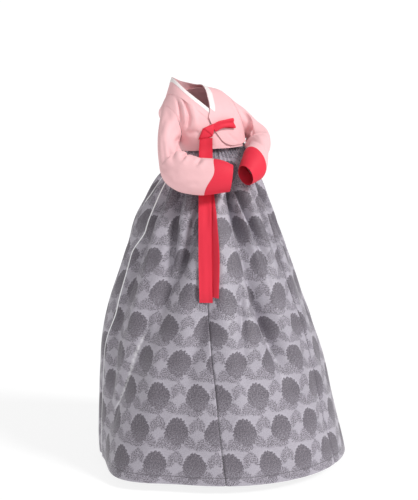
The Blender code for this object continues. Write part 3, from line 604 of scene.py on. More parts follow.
def make_body():
    """The back and the two fronts; the left one lies outside and ends in a curve."""
    side = 1.0 - SEAM_GAP / SIDE_RUN
    s = np.linspace(-side, side, 120)
    from_middle = np.abs(body(s, np.full(120, 1.3), False)[..., 0])
    top = 1.0 + SEAM_GAP / SHOULDER_RUN + 0.36 * np.maximum(0.0, 1.0 - (from_middle / 0.083) ** 2)
    panel("back_cloth", ["back"], s, top, t_of(s, track(HEM_BACK, waist(s)), True), BACK_CREASES)
    s = np.linspace(-side, float(s_of(0.085, -0.22)), 100)
    low = t_of(s, track(HEM_FRONT, waist(s)))
    panel("front_right_cloth", ["front_right_inner"], s, low, neck_t(s, -1.0), RIGHT_FRONT_CREASES)
    s = np.linspace(float(s_of(-0.042, -0.16)), side, 100)
    low = t_of(s, track(OUTER_LOW, waist(s)))
    panel("front_left_cloth", ["front_left_outer"], s, low, neck_t(s, 1.0), LEFT_FRONT_CREASES, front_layer)


# rings of a sleeve: outer point, inner point, half width across, turn across in degrees (None: from its way)
RIGHT_SLEEVE = (
    ((-0.133, -0.030, -0.109), (-0.084, -0.060, -0.228), 0.059, 14.0),
    ((-0.156, -0.049, -0.156), (-0.090, -0.083, -0.238), 0.058, 24.0),
    ((-0.178, -0.076, -0.210), (-0.096, -0.110, -0.250), 0.058, 30.0),
    ((-0.195, -0.112, -0.280), (-0.104, -0.140, -0.258), 0.058, 32.0),
    ((-0.205, -0.160, -0.350), (-0.108, -0.170, -0.264), 0.057, None),
    ((-0.185, -0.215, -0.388), (-0.103, -0.203, -0.271), 0.053, None),
    ((-0.145, -0.252, -0.404), (-0.087, -0.243, -0.277), 0.048, None),
    ((-0.098, -0.277, -0.409), (-0.058, -0.280, -0.279), 0.044, None),
)
RIGHT_CUFF = (
    ((-0.058, -0.298, -0.404), (-0.029, -0.300, -0.286), 0.042, None),
    ((-0.014, -0.316, -0.397), (-0.001, -0.318, -0.301), 0.038, None),
)
LEFT_SLEEVE = (
    ((0.199, -0.025, -0.066), (0.228, -0.066, -0.206), 0.056, 4.0),
    ((0.226, -0.059, -0.095), (0.236, -0.087, -0.222), 0.057, 14.0),
    ((0.252, -0.098, -0.137), (0.208, -0.096, -0.232), 0.057, 28.0),
    ((0.268, -0.150, -0.175), (0.184, -0.118, -0.236), 0.055, 32.0),
    ((0.244, -0.208, -0.225), (0.164, -0.160, -0.238), 0.050, None),
    ((0.186, -0.260, -0.289), (0.139, -0.217, -0.234), 0.047, None),
    ((0.141, -0.301, -0.347), (0.104, -0.260, -0.240), 0.044, None),
)
LEFT_CUFF = (
    ((0.113, -0.312, -0.362), (0.076, -0.274, -0.274), 0.040, None),
    ((0.079, -0.319, -0.373), (0.051, -0.289, -0.309), 0.036, None),
)
# places round a ring, and how much of a step between rings one place counts for in a crease
RING, PLACE_RUN = 24, 0.42

# creases on a sleeve: points (place round the ring 0-24 from its outer line, ring number), depth, width
RIGHT_SLEEVE_CREASES = (
    (((16.9, 6.00), (15.6, 5.80), (13.6, 5.60), (12.0, 5.3)), -0.0110, 0.17),
    (((17.8, 6.05), (16.4, 6.15), (14.8, 6.10)), 0.0050, 0.24),
    (((18.6, 3.0), (17.4, 4.9), (18.6, 5.8)), -0.0065, 0.34),
    (((16.2, 4.4), (16.0, 5.1), (16.6, 5.7)), 0.0045, 0.30),
    (((14.2, 2.6), (15.6, 4.0), (16.8, 5.0)), -0.0060, 0.32),
    (((20.6, 2.6), (20.0, 3.9), (20.6, 4.9)), -0.0042, 0.40),
    (((22.4, 4.3), (20.6, 5.3), (18.8, 6.2)), -0.0048, 0.28),
    (((21.6, 5.7), (19.2, 6.6), (17.6, 7.7)), -0.0040, 0.30),
    (((12.6, 6.9), (14.4, 7.05), (16.6, 7.05)), -0.0070, 0.17),
    (((13.8, 7.5), (15.6, 7.4), (17.2, 7.1)), 0.0035, 0.22),
    (((22.6, 6.3), (20.8, 6.9), (19.6, 7.6)), -0.0030, 0.26),
    (((20.5, 0.2), (21.5, 1.4), (22.5, 2.8)), -0.0050, 0.50),
    (((16.8, 0.2), (17.6, 1.3), (18.4, 2.4)), -0.0045, 0.42),
    (((14.2, 0.3), (15.2, 1.3), (16.0, 2.4)), -0.0060, 0.36),
    (((11.0, 4.6), (8.0, 4.4), (4.5, 4.9)), -0.0060, 0.42),
    (((11.5, 3.2), (8.5, 3.4), (5.5, 3.9)), -0.0045, 0.50),
    (((3.0, 0.4), (3.5, 1.8), (2.5, 3.2)), -0.0045, 0.60),
    (((8.5, 0.3), (8.0, 1.6), (7.0, 2.7)), -0.0040, 0.55),
    (((11.0, 6.0), (7.5, 6.4), (4.0, 6.9)), -0.0040, 0.40),
)
LEFT_SLEEVE_CREASES = (
    (((20.4, 4.95), (18.0, 5.00), (15.6, 5.00), (13.4, 4.8)), -0.0100, 0.20),
    (((20.8, 5.45), (18.4, 5.50), (16.0, 5.55)), 0.0042, 0.26),
    (((20.6, 4.4), (18.4, 4.3), (16.6, 4.1)), 0.0045, 0.28),
    (((15.0, 0.3), (15.8, 1.4), (17.0, 2.6), (18.6, 3.6)), -0.0065, 0.36),
    (((18.4, 0.2), (19.0, 1.4), (20.2, 2.8)), -0.0045, 0.45),
    (((21.6, 0.2), (21.8, 1.4), (22.4, 2.8)), -0.0045, 0.60),
    (((13.4, 5.7), (16.4, 6.2), (19.4, 6.5)), -0.0042, 0.28),
    (((12.6, 3.0), (14.4, 3.9), (16.0, 4.6)), -0.0055, 0.30),
    (((22.4, 5.6), (20.6, 6.1), (18.6, 6.7)), -0.0030, 0.26),
    (((11.5, 3.0), (8.5, 3.2), (5.0, 3.6)), -0.0055, 0.45),
    (((11.0, 4.2), (8.0, 4.2), (4.5, 4.7)), -0.0050, 0.40),
    (((3.0, 0.4), (3.2, 1.6), (2.6, 2.8)), -0.0045, 0.60),
    (((8.5, 0.3), (8.2, 1.4), (7.4, 2.5)), -0.0040, 0.55),
)


def armhole(sign):
    """A sleeve's first ring, on the armhole of the body."""
    low = -0.2155 if sign < 0 else -0.196
    one = np.ones(1)
    stops = [float(t_of(one, low, True)[0]), float(t_of(one, low)[0])]
    ts = np.concatenate([np.linspace(1.0, stops[0], 61), np.linspace(stops[1], 1.0, 61), [1.0]])
    path = body(np.full(ts.shape, sign), ts)
    path[-1] = path[0]
    run = run_along(path)
    at = run[-1] * np.arange(RING) / RING
    out = np.stack([np.interp(at, run, path[:, c]) for c in range(3)], -1)
    out[:, 0] += sign * 0.0022
    return out


def sleeve_rings(sign, rows):
    rings = [armhole(sign)]
    turn = 2 * np.pi * np.arange(RING) / RING
    mids = [(np.array(row[0]) + np.array(row[1])) / 2 for row in rows]
    for k, (o, i, w, plan) in enumerate(rows):
        o, i = np.array(o), np.array(i)
        if plan is None:
            ahead = mids[min(k + 1, len(mids) - 1)] - mids[max(k - 1, 0)]
            back = unit(np.cross(ahead, o - i)) * w
        else:
            back = np.array((math.sin(math.radians(plan)), math.cos(math.radians(plan)), 0.0)) * w
        if back @ (rings[-1][RING // 4] - rings[-1][3 * RING // 4]) < 0.0:
            back = -back
        rings.append(mids[k] + np.outer(np.cos(turn), (o - i) / 2) + np.outer(np.sin(turn), back))
    return np.array(rings)


def ring_grid(rings, us, cols):
    """Points at ring numbers us (one a point) and at cols + 1 places round, the last on the first."""
    v = np.linspace(0.0, RING, cols + 1) % RING
    k = np.floor(v).astype(int)
    f = (v - k)[None, :, None]
    p = []
    for d in (-1, 0, 1, 2):
        near = (k + d) % RING
        p.append(np.stack([along(rings[:, near[c]], us[:, c]) for c in range(cols + 1)], 1))
    return 0.5 * (p[1] * 2 + (p[2] - p[0]) * f + (p[0] * 2 - p[1] * 5 + p[2] * 4 - p[3]) * f ** 2
                  + (p[1] * 3 - p[0] - p[2] * 3 + p[3]) * f ** 3)


def seam_level(level, place, bend):
    """The cuff's seam as a ring number, bent toward the hand on the side that the camera sees."""
    return level + bend * np.exp(-((place - 17.4) / 2.3) ** 2)


def tube(name, node_name, rings, u0, u1, rows, slot, creases=()):
    """A stretch of sleeve or cuff from ring number u0 to u1, each a function of the place round it."""
    cols, nudge, end = 132, 0.004, len(rings) - 1.0
    place = np.linspace(0.0, RING, cols + 1)[None, :]
    lo, hi = u0(place), u1(place)
    us = lo + (hi - lo) * np.linspace(0.0, 1.0, rows)[:, None] + 0.0 * place
    base = ring_grid(rings, us, cols)
    du = base[:, np.r_[1:cols + 1, 1]] - base[:, np.r_[cols - 1, 0:cols]]
    dv = (ring_grid(rings, np.minimum(us + nudge, end), cols)
          - ring_grid(rings, np.maximum(us - nudge, 0.0), cols))
    n = unit(np.cross(du, dv))
    centre = base[:, :-1].mean(axis=1, keepdims=True)
    n = np.where((n * (base - centre)).sum(-1, keepdims=True) < 0.0, -n, n)
    place = place + 0.0 * us
    out = np.full(place.shape, JACKET_WALL)
    for line, depth, width in creases:
        for shift in (-RING, 0.0, RING):
            moved = [((a + shift) * PLACE_RUN, b) for a, b in line]
            out = out + crease(place * PLACE_RUN, us, moved, depth, width)
    p = base + n * out[..., None]
    p[:, -1] = p[:, 0]
    girth = np.linalg.norm(np.diff(p, axis=1), axis=-1).sum(axis=1)
    uv = np.stack([(place / RING - 0.5) * girth[:, None], run_along(p)[:, None] + 0.0 * place], -1)
    line = centre[:, 0]

    def outward(c):
        near = np.argmin(np.linalg.norm(c[:, None] - line[None], axis=-1), axis=1)
        return c - line[near]

    obj = cloth(name, p, uv, JACKET_WALL, MATERIALS[slot], outward, wrap=True)
    finish_piece(obj, p, [node_name], slot, "draped")


def make_sleeves():
    for side, sign, arm, cuff, bend, creases in (
            ("right", -1.0, RIGHT_SLEEVE, RIGHT_CUFF, 0.36, RIGHT_SLEEVE_CREASES),
            ("left", 1.0, LEFT_SLEEVE, LEFT_CUFF, 0.0, LEFT_SLEEVE_CREASES)):
        rings = sleeve_rings(sign, arm + cuff)
        seam = float(len(arm))
        tube("sleeve_" + side + "_cloth", "sleeve_" + side, rings, lambda place: 0.0,
             lambda place: seam_level(seam - 0.0067, place, bend), 150, "jacket_cloth", creases)
        tube("cuff_" + side + "_cloth", "cuff_" + side, rings,
             lambda place: seam_level(seam, place, bend), lambda place: len(rings) - 1.0, 34, "red_cloth")


# collar: x and height of the lower and upper edge, way, how far the upper edge stands
GIT = (
    (0.006, -0.176, 0.036, -0.144, 1, 0.0),
    (-0.034, -0.136, 0.001, -0.106, 1, 0.0),
    (-0.073, -0.083, -0.037, -0.056, 1, 0.0),
    (-0.090, -0.040, -0.058, -0.022, 1, 0.010),
    (-0.096, 0.010, -0.068, 0.010, 1, 0.040),
    (-0.084, -0.034, -0.052, -0.010, -1, 0.041),
    (0.000, -0.040, 0.000, -0.014, -1, 0.027),
    (0.084, -0.034, 0.052, -0.010, -1, 0.012),
    (0.100, 0.010, 0.060, 0.010, 1, 0.005),
    (0.084, -0.046, 0.040, -0.020, 1, 0.0),
    (0.056, -0.083, 0.014, -0.056, 1, 0.0),
    (0.020, -0.130, -0.010, -0.096, 1, 0.0),
    (-0.012, -0.150, -0.024, -0.116, 1, 0.0),
    (-0.034, -0.158, -0.034, -0.126, 1, 0.0),
)


def git_edges():
    low, top = [], []
    for xl, zl, xu, zu, way, lift in GIT:
        sl, su = float(s_of(xl, min(zl, 0.0))), float(s_of(xu, min(zu, 0.0)))
        low.append((sl, float(t_of(sl, zl, way < 0)), lift))
        top.append((su, float(t_of(su, zu, way < 0)), 0.0))
    return np.array(low), np.array(top)


def git_points(us, rs):
    """Points of the collar at places us along it and rs across it, just off the cloth below."""
    low, top = git_edges()
    a, b = along(low, us)[:, None], along(top, us)[:, None]
    r = rs[..., None]
    st = a + (b - a) * r
    s, t = st[..., 0], st[..., 1]
    flat = body(s, t, False)
    over = 1.22 * front_layer(flat[..., 0] - 0.003, flat[..., 2] - 0.004)
    base = 0.0013 + np.where(us[:, None] > len(GIT) / 2, over, 0.0)
    p = body(s, t) + body_normal(s, t) * base[..., None]
    p[..., 2] += np.maximum(0.0, a[..., 2]) * rs ** 1.3
    return p


def make_collar():
    for name, node_name, u0, u1, r0, r1, rows, cols, lift, thick, slot in (
            ("git_cloth", "git_collar", 0.0, len(GIT) - 1.0, 0.0, 1.0, 300, 26,
             0.0008, 0.0007, "jacket_cloth"),
            ("dongjeong_cloth", "dongjeong_strip", 1.0, 11.0, 0.6, 0.98, 240, 14,
             0.0018, 0.0008, "collar_strip")):
        us, rs = np.linspace(u0, u1, rows), np.linspace(r0, r1, cols)[None, :]
        if r0 > 0.0:
            rs = r1 - (r1 - rs) * (1.0 - 0.42 * np.exp(-((us - 3.9) / 1.1) ** 2))[:, None]
        rs = rs + 0.0 * us[:, None]
        p = git_points(us, rs)
        du, dv = np.gradient(p, axis=1), np.gradient(p, axis=0)
        n = unit(np.cross(du, dv))
        edge = p[:, :1] * (1.0, 1.0, 0.0) + (0.0, 0.0, 0.12)
        n = np.where((n * edge).sum(-1, keepdims=True) < 0.0, -n, n)
        soft = 0.0003 * np.sin(us[:, None] * 2.1) * np.sin(rs * math.pi)
        p = p + n * (lift + soft)[..., None]
        uv = np.stack([rs * 0.05, run_along(p)[:, None] + 0.0 * rs], -1)
        obj = cloth(name, p, uv, thick, MATERIALS[slot],
                    lambda c: np.stack([c[:, 0], c[:, 1], np.full(len(c), 0.12)], -1))
        REST.append(obj)
        finish_piece(obj, p, [node_name], slot, "folded")


# skirt

# creases of the skirt over its folds, in the same columns as FOLDS
CREASES = (
    (-0.36, -8.0, -0.60, -5.5, -1.00, 4.0, -0.048, 4.2),
    (-0.36, -2.0, -0.47, 6.0, -0.64, 13.5, -0.036, 3.4),
    (-0.62, 4.0, -0.76, 7.0, -0.98, 10.0, -0.010, 3.6),
    (-0.38, -4.5, -0.50, 0.5, -0.66, 5.5, 0.016, 2.6),
    (-0.38, -60.0, -0.56, -58.5, -0.82, -63.5, -0.036, 4.8),
    (-0.38, -50.0, -0.55, -50.0, -0.80, -54.0, 0.010, 4.2),
    (-0.42, -35.0, -0.50, -41.0, -0.60, -48.0, -0.020, 3.2),
    (-0.50, -32.0, -0.62, -45.0, -0.78, -58.0, -0.034, 4.2),
    (-0.50, -26.0, -0.66, -36.0, -0.82, -45.0, 0.008, 4.0),
    (-0.38, 34.0, -0.47, 44.0, -0.64, 57.0, -0.030, 3.8),
    (-0.38, 18.0, -0.50, 24.0, -0.76, 28.0, -0.016, 3.2),
    (-0.82, -30.0, -0.90, -36.0, -1.04, -43.0, -0.010, 3.6),
    (-0.74, -10.5, -0.90, -14.0, -1.06, -17.0, -0.011, 2.0),
    (-0.60, -78.0, -0.80, -80.0, -1.00, -84.0, -0.012, 3.0),
    (-0.90, -67.0, -1.05, -76.0, -1.22, -87.0, -0.012, 2.4),
    (-0.90, 24.0, -1.10, 27.0, -1.34, 29.0, -0.008, 4.5),
    (-1.00, -58.0, -1.18, -62.0, -1.38, -63.0, 0.008, 5.0),
    (-0.40, 84.0, -0.56, 88.0, -0.84, 92.0, -0.014, 3.2),
    (-0.42, 112.0, -0.58, 110.0, -0.80, 106.0, -0.012, 3.0),
    (-0.38, 138.0, -0.60, 141.0, -0.92, 146.0, -0.018, 3.0),
    (-0.40, 168.0, -0.56, 166.0, -0.82, 161.0, -0.013, 3.4),
    (-0.40, 192.0, -0.62, 190.0, -0.96, 184.0, -0.017, 2.8),
    (-0.42, 218.0, -0.60, 221.0, -0.86, 226.0, -0.013, 3.2),
    (-0.80, 150.0, -0.98, 153.0, -1.26, 152.0, -0.009, 3.8),
    (-0.84, 212.0, -1.02, 209.0, -1.30, 212.0, -0.009, 4.2),
    (-0.86, 58.0, -1.04, 61.0, -1.28, 60.0, -0.009, 4.0),
)


def wrap_edge(z):
    return track(WRAP_EDGE, z)


def skirt_angle(q, z):
    """Degrees from the front at place q, which counts the widths from the wrap's edge."""
    q, z = np.broadcast_arrays(np.asarray(q, float), np.asarray(z, float))
    k = np.clip(np.floor(q), 0, 5).astype(int)
    w = wrap_edge(z)
    edges = np.array([0.0] + list(WIDTH_EDGES[1:]) + [0.0])
    lo = np.where(k == 0, w, edges[k])
    hi = np.where(k == 5, w + 360.0, edges[k + 1])
    past = w + 360.0 + (q - 6.0) * (WIDTH_EDGES[1] - w)
    return np.where(q > 6.0, past, lo + (hi - lo) * (q - k))


def skirt_base(angle, z):
    """The section's radius at an angle, its shift along E, and the angle's sine and cosine."""
    m, rx, ry, p = track(SKIRT, z)
    a = np.radians(angle)
    sn, cs = np.sin(a), np.cos(a)
    return 1.0 / ((np.abs(sn) / rx) ** p + (np.abs(cs) / ry) ** p) ** (1.0 / p), m, sn, cs


def fold_depth(angle, z, rows):
    out = np.zeros(np.broadcast(angle, z).shape)
    for z0, a0, z1, a1, z2, a2, depth, width in rows:
        at = track(((z2, a2), (z1, a1), (z0, a0)), z)
        gap = (angle - at + 180.0) % 360.0 - 180.0
        fade = smooth(-z, -z0 - 0.10, -z0 + 0.02) * smooth(z, z2 - 0.16, z2 + 0.14)
        out = out + depth * fade * np.exp(-(gap / width) ** 2)
    return out


def pleat_depth(q, z):
    """Knife pleats below the waist, running out into broad soft waves."""
    turn = 2 * np.pi * PLEATS * q
    knife = np.cos(turn + 0.85 * np.sin(turn)) * (1.0 - 0.35 * smooth(-z, 0.40, 0.60))
    shrink = (1.0 - 0.75 * smooth(-z, 0.34, 0.50)) * (1.0 - smooth(-z, 0.50, 0.78))
    size = 0.0040 * shrink * smooth(-z, 0.10, 0.24)
    broad = np.cos(math.pi * PLEATS * q + 1.1 * np.sin(2 * math.pi * q / 3))
    soft = 0.006 * smooth(-z, 0.34, 0.50) * (1.0 - smooth(-z, 0.70, 1.30))
    return size * knife + soft * broad * (0.7 + 0.3 * np.sin(4 * math.pi * q / 3))


def skirt_points(q, z):
    angle = skirt_angle(q, z)
    r, m, sn, cs = skirt_base(angle, z)
    r = r + pleat_depth(q, z) + 1.15 * fold_depth(angle, z, FOLDS) + fold_depth(angle, z, CREASES)
    at, depth, width = CORNER
    turn = (angle + 180.0) % 360.0 - 180.0
    r = r + depth * track(CORNER_RISE, z) * np.exp(-((turn - at) / width) ** 2)
    r = r - 0.0110 * smooth(q, 5.86, 5.97)
    seam = np.abs(q - np.rint(q)) * 0.5
    r = r - np.where((q > 0.5) & (q < 5.5), 0.0042 * np.exp(-(seam / 0.0045) ** 2), 0.0)
    return np.stack([sn * r, -cs * r, z + 0.0 * r], -1) + m[..., None] * E


# painted highlights near the wrap, height and angle: from the wrap's edge on width 6, from the front on
# width 1
UNDER_HIGHLIGHT = ((-0.34, -15.0), (-0.41, -16.5), (-0.47, -20.0), (-0.54, -22.5), (-0.60, -24.0))
FOLD_HIGHLIGHT = ((-0.90, -67.5), (-1.00, -74.0), (-1.10, -79.5), (-1.18, -85.0), (-1.24, -92.0))


def edge_and_highlight(k, across, angle, z, girth):
    """How pale width k is painted: a pale edging with painted highlight along the wrap's edge, and the two
    painted highlight lines.
    """
    if k == 0:
        way = np.abs(angle - track(FOLD_HIGHLIGHT, z)) * girth * math.pi / 180.0
        ends = smooth(z, -1.24, -1.19) * (1.0 - smooth(z, -0.95, -0.90))
        line = (1.0 - smooth(way, 0.0010, 0.0054)) * ends
        return np.maximum(1.0 - smooth(across, 0.0036, 0.0060), 0.5 * line)
    if k == 5:
        way = np.abs(angle - 360.0 - wrap_edge(z) - track(UNDER_HIGHLIGHT, z)) * girth * math.pi / 180.0
        return (1.0 - smooth(way, 0.0015, 0.0045)) * smooth(z, -0.60, -0.57)
    return 0.0 * across


def make_skirt():
    """The six widths, each a grid of columns closer together at its seams."""
    rows, nudge, sixth = 150, 2e-3, math.radians(60.0)
    z = np.linspace(SKIRT_HEM, SKIRT_TOP, rows)[:, None]
    girth = track(SKIRT, z)[1]
    trim = SEAM_GAP / 2 / (girth * sixth)
    for k in range(6):
        first, last = k == 0, k == 5
        lo = k + (0.0 if first else trim)
        hi = 6.0 + UNDERLAP if last else k + 1.0 - trim
        cols = 128 if last else 112
        f = np.linspace(0.0, 1.0, cols)
        q = lo + (hi - lo) * (f - 0.13 * np.sin(2 * np.pi * f))[None, :]
        dq = skirt_points(q + nudge, z) - skirt_points(q - nudge, z)
        dz = skirt_points(q, z + nudge) - skirt_points(q, z - nudge)
        p = skirt_points(q, z) + unit(np.cross(dq, dz)) * SKIRT_WALL
        steps = np.linalg.norm(np.diff(p, axis=1), axis=-1)
        across = np.concatenate([np.zeros((rows, 1)), np.cumsum(steps, 1)], 1)
        # edge: a pale edging with painted highlight along the wrap's edge, and two painted highlight lines
        edge = edge_and_highlight(k, across, skirt_angle(q, z), z, girth)
        side = np.minimum(1.0 if first else across, 1.0 if last else across[:, -1:] - across)
        # painted shade along the seams between the widths, faded out toward the waist
        seam = (1.0 - smooth(side, 0.0004, 0.0022)) * smooth(-z, 0.5, 0.8)
        across -= across[:, -1:] / 2
        down = run_along(p[:, cols // 2])[:, None]
        uv = np.stack([across + 0.3 * k, down + 0.0 * across], -1)
        name = "skirt_width_%d" % (k + 1)
        obj = cloth(name + "_cloth", p, uv, SKIRT_WALL, MATERIALS["skirt_cloth"],
                    lambda c: c * (1.0, 1.0, 0.0) - E * 0.09, marks=(("edge", edge), ("seam", seam)))
        REST.append(obj)
        finish_piece(obj, p, [name], "skirt_cloth", "gathered")


def make_chest_band():
    """The plain band above the pleats, which the jacket hides."""
    turn = np.linspace(0.0, 360.0, 97)
    r, _, sn, cs = skirt_base(turn, SKIRT_TOP)
    r = r + SKIRT_WALL
    z = np.linspace(-0.1844, -0.140, 12)[:, None]
    p = np.stack([sn * r, -cs * r, 0.0 * r], -1)[None] + track(LEAN, z)[..., None] * E
    p[..., 2] = z
    uv = np.stack([np.radians(turn) * 0.12 + 0.0 * z, z + 0.0 * turn], -1)
    obj = cloth("chest_band_cloth", p, uv, SKIRT_WALL, MATERIALS["skirt_cloth"],
                lambda c: c * (1.0, 1.0, 0.0) - E * 0.07, wrap=True)
    finish_piece(obj, p, ["skirt_chest_band"], "skirt_cloth", "stretched")


# tie

# middle of a tail along E by height, and its half width
TAIL_FRONT = ((-0.792, 0.0705), (-0.600, 0.0665), (-0.400, 0.0665), (-0.260, 0.0670), (-0.196, 0.0710))
TAIL_SECOND = ((-0.770, 0.0920), (-0.640, 0.0950), (-0.500, 0.0860), (-0.360, 0.0720), (-0.200, 0.0700))
TAIL_HALF = 0.0240
# how far a tail's outer skin stands off what it lies on, and the tails' upper end
TAIL_OFF, TAIL_TOP = 0.0021, -0.2040
# the bow's loop: x, height, how far off the chest, half width
LOOP = (
    (-0.0357, -0.1705, 0.0135, 0.0150),
    (-0.0100, -0.1605, 0.0200, 0.0150),
    (0.0160, -0.1555, 0.0230, 0.0140),
    (0.0440, -0.1535, 0.0230, 0.0165),
    (0.0610, -0.1530, 0.0165, 0.0190),
    (0.0460, -0.1537, 0.0125, 0.0170),
    (0.0160, -0.1558, 0.0125, 0.0140),
    (-0.0100, -0.1608, 0.0125, 0.0145),
    (-0.0357, -0.1705, 0.0105, 0.0130),
)
# the knot's middle (x, height), how far off the chest it starts, and its rise
KNOT, KNOT_OUT, KNOT_RISE = (-0.0575, -0.1745), 0.0066, 0.0120


def rest_tree():
    """Everything modelled so far that a tail can lie on."""
    corners, faces = [], []
    for obj in REST:
        mesh = obj.data
        start = len(corners)
        corners += [tuple(v.co) for v in mesh.vertices]
        faces += [tuple(start + k for k in face.vertices) for face in mesh.polygons]
    return BVHTree.FromPolygons(corners, faces)


def rest_depth(tree, lateral, z):
    """How far toward the camera the cloth lies at a place along E and a height."""
    away = Vector(TOWARD)
    hit = tree.ray_cast(Vector(E) * float(lateral) + away + Vector((0.0, 0.0, float(z))), -away)
    return hit[0].dot(away) if hit[0] else -1.0


def make_tail(name, node_name, table, bottom, turned=0.0):
    """A ribbon that hangs on what is below it, its far edge turned out by some metres."""
    tree = rest_tree()
    rows, cols = 160, 22
    z = np.linspace(bottom, TAIL_TOP, rows)[:, None]
    a = np.linspace(-1.0, 1.0, cols)[None, :]
    lateral = track(table, z) + a * TAIL_HALF
    depth = np.array([[rest_depth(tree, lateral[i, j], z[i, 0]) for j in range(cols)] for i in range(rows)])
    padded = np.pad(depth, ((2, 2), (3, 3)), mode="edge")
    depth = np.max([padded[i:i + rows, j:j + cols] for i in range(5) for j in range(7)], axis=0)
    depth = np.maximum(depth, depth.max(axis=1, keepdims=True) - 0.0035)
    least = depth.copy()
    for _ in range(30):
        padded = np.pad(depth, 1, mode="edge")
        mean = (padded[:-2, 1:-1] + padded[2:, 1:-1] + padded[1:-1, :-2] + padded[1:-1, 2:]) / 4
        depth = np.maximum(mean, least)
    depth = depth + turned * smooth(a, -0.1, 1.0) * smooth(-z, 0.36, 0.52)
    p = E * lateral[..., None] + TOWARD * (depth + TAIL_OFF)[..., None]
    p[..., 2] = z
    n = unit(np.cross(np.gradient(p, axis=1), np.gradient(p, axis=0)))
    n = np.where((n * TOWARD).sum(-1, keepdims=True) < 0.0, -n, n)
    y = np.linspace(0.0, 1.0, rows)[:, None]
    soft = 0.0007 * (1.0 + np.cos(a * 4.0 + y * 3.0))
    soft = soft + 0.0006 * (1.0 + np.sin(y * 23.0 + a)) * (1.0 - 0.6 * y)
    p = p + n * soft[..., None]
    uv = np.stack([a * TAIL_HALF + 0.0 * y, y * (TAIL_TOP - bottom) + 0.0 * a], -1)
    obj = cloth(name, p, uv, TIE_WALL, MATERIALS["red_cloth"], lambda c: np.broadcast_to(TOWARD, c.shape))
    REST.append(obj)
    finish_piece(obj, p, [node_name], "red_cloth", "hung")


def make_loop():
    """The bow's loop, a ribbon edge-on to the chest, out along one side and back."""
    rows = np.array(LOOP)
    pts = chest(rows[:, 0], rows[:, 1], rows[:, 2])
    us = np.linspace(0.0, len(LOOP) - 1.0, 140)
    line = along(pts, us)
    ahead = unit(along(pts, us + 0.05) - along(pts, us - 0.05))
    up = np.array((-0.22, 0.0, 0.97))
    w = unit(up - ahead * (ahead @ up)[:, None])
    n = unit(np.cross(w, ahead))
    half = along(rows[:, 3:4], us)
    a = np.linspace(-1.0, 1.0, 24)[None, :]
    puff = 0.0016 * np.cos(a * 5.0) * np.sin(np.pi * us / us[-1])[:, None]
    p = line[:, None] + (w * half)[:, None] * a[..., None] + n[:, None] * (TIE_WALL + puff)[..., None]
    uv = np.stack([a * TAIL_HALF + 0.0 * us[:, None], run_along(line)[:, None] + 0.0 * a], -1)
    side = n.mean(axis=0)
    red = MATERIALS["red_cloth"]
    return cloth("loop_cloth", p, uv, TIE_WALL, red, lambda c: np.broadcast_to(side, c.shape)), p


# corners of the folded ribbon at the knot (x, height): upper left, upper right, lower right, lower left
KNOT_CORNERS = ((-0.0765, -0.1690), (-0.0225, -0.1505), (-0.0510, -0.2010), (-0.1035, -0.2110))


def make_knot():
    """The ribbon folded over itself where the loop starts: a flat pad with one slanting fold."""
    a = np.linspace(-1.0, 1.0, 40)[None, :]
    b = a.T
    s = (a * np.sqrt(1.0 - 0.10 * b * b) + 1.0) / 2
    t = (b * np.sqrt(1.0 - 0.10 * a * a) + 1.0) / 2
    ul, ur, lr, ll = (np.array(c) for c in KNOT_CORNERS)
    flat = ((ul * (1 - s)[..., None] + ur * s[..., None]) * t[..., None]
            + (ll * (1 - s)[..., None] + lr * s[..., None]) * (1 - t)[..., None])
    crown = (1.0 - a ** 6) * (1.0 - b ** 6)
    fold = 0.0030 * smooth(-(a + b), -0.05, 0.12) + 0.0010 * np.exp(-((a + b + 0.04) / 0.06) ** 2)
    p = chest(flat[..., 0], flat[..., 1], KNOT_OUT + KNOT_RISE * (0.30 + 0.70 * crown ** 0.5) - fold)
    uv = np.stack([s * 0.04, t * 0.04], -1)
    x, z = np.array(KNOT)
    out = body_normal(s_of(x, z), t_of(s_of(x, z), z))
    red = MATERIALS["red_cloth"]
    return cloth("knot_cloth", p, uv, KNOT_WALL, red, lambda c: np.broadcast_to(out, c.shape))


def make_tie():
    """The tails, then the loop and the knot on top of them."""
    make_tail("tail_second_cloth", "goreum_tail_second", TAIL_SECOND, -0.772, 0.021)
    make_tail("tail_front_cloth", "goreum_tail_front", TAIL_FRONT, -0.792)
    loop, points = make_loop()
    knot = make_knot()
    in_frame(knot, ["goreum_knot"])
    finish_piece(loop, points, ["goreum_loop"], "red_cloth", "folded", with_pieces=[knot])


# stage

def soft_sun(name, side, height, power, spread_deg):
    """Even light from one side (a level direction toward the light) at a height in degrees."""
    data = bpy.data.lights.new(name, "SUN")
    data.energy, data.angle = power, math.radians(spread_deg)
    obj = bpy.data.objects.new(name, data)
    bpy.context.collection.objects.link(obj)
    away = Vector(unit(np.asarray(side, float))) * math.cos(math.radians(height))
    away.z = math.sin(math.radians(height))
    obj.matrix_world = Matrix.Translation(away * 3.0) @ away.to_track_quat("Z", "Y").to_matrix().to_4x4()


# strength of the white surroundings as light, and as the camera sees them
LIT_WHITE, SEEN_WHITE = 0.32, 1.05
# the camera's place, turn and pitch in degrees and lens in millimetres, and the floor's height
CAMERA_AT, CAMERA_TURN, CAMERA_PITCH, LENS, FLOOR_Z = (-2.051, -3.435, -0.155), 32.0, 7.0, 73.44, -1.470


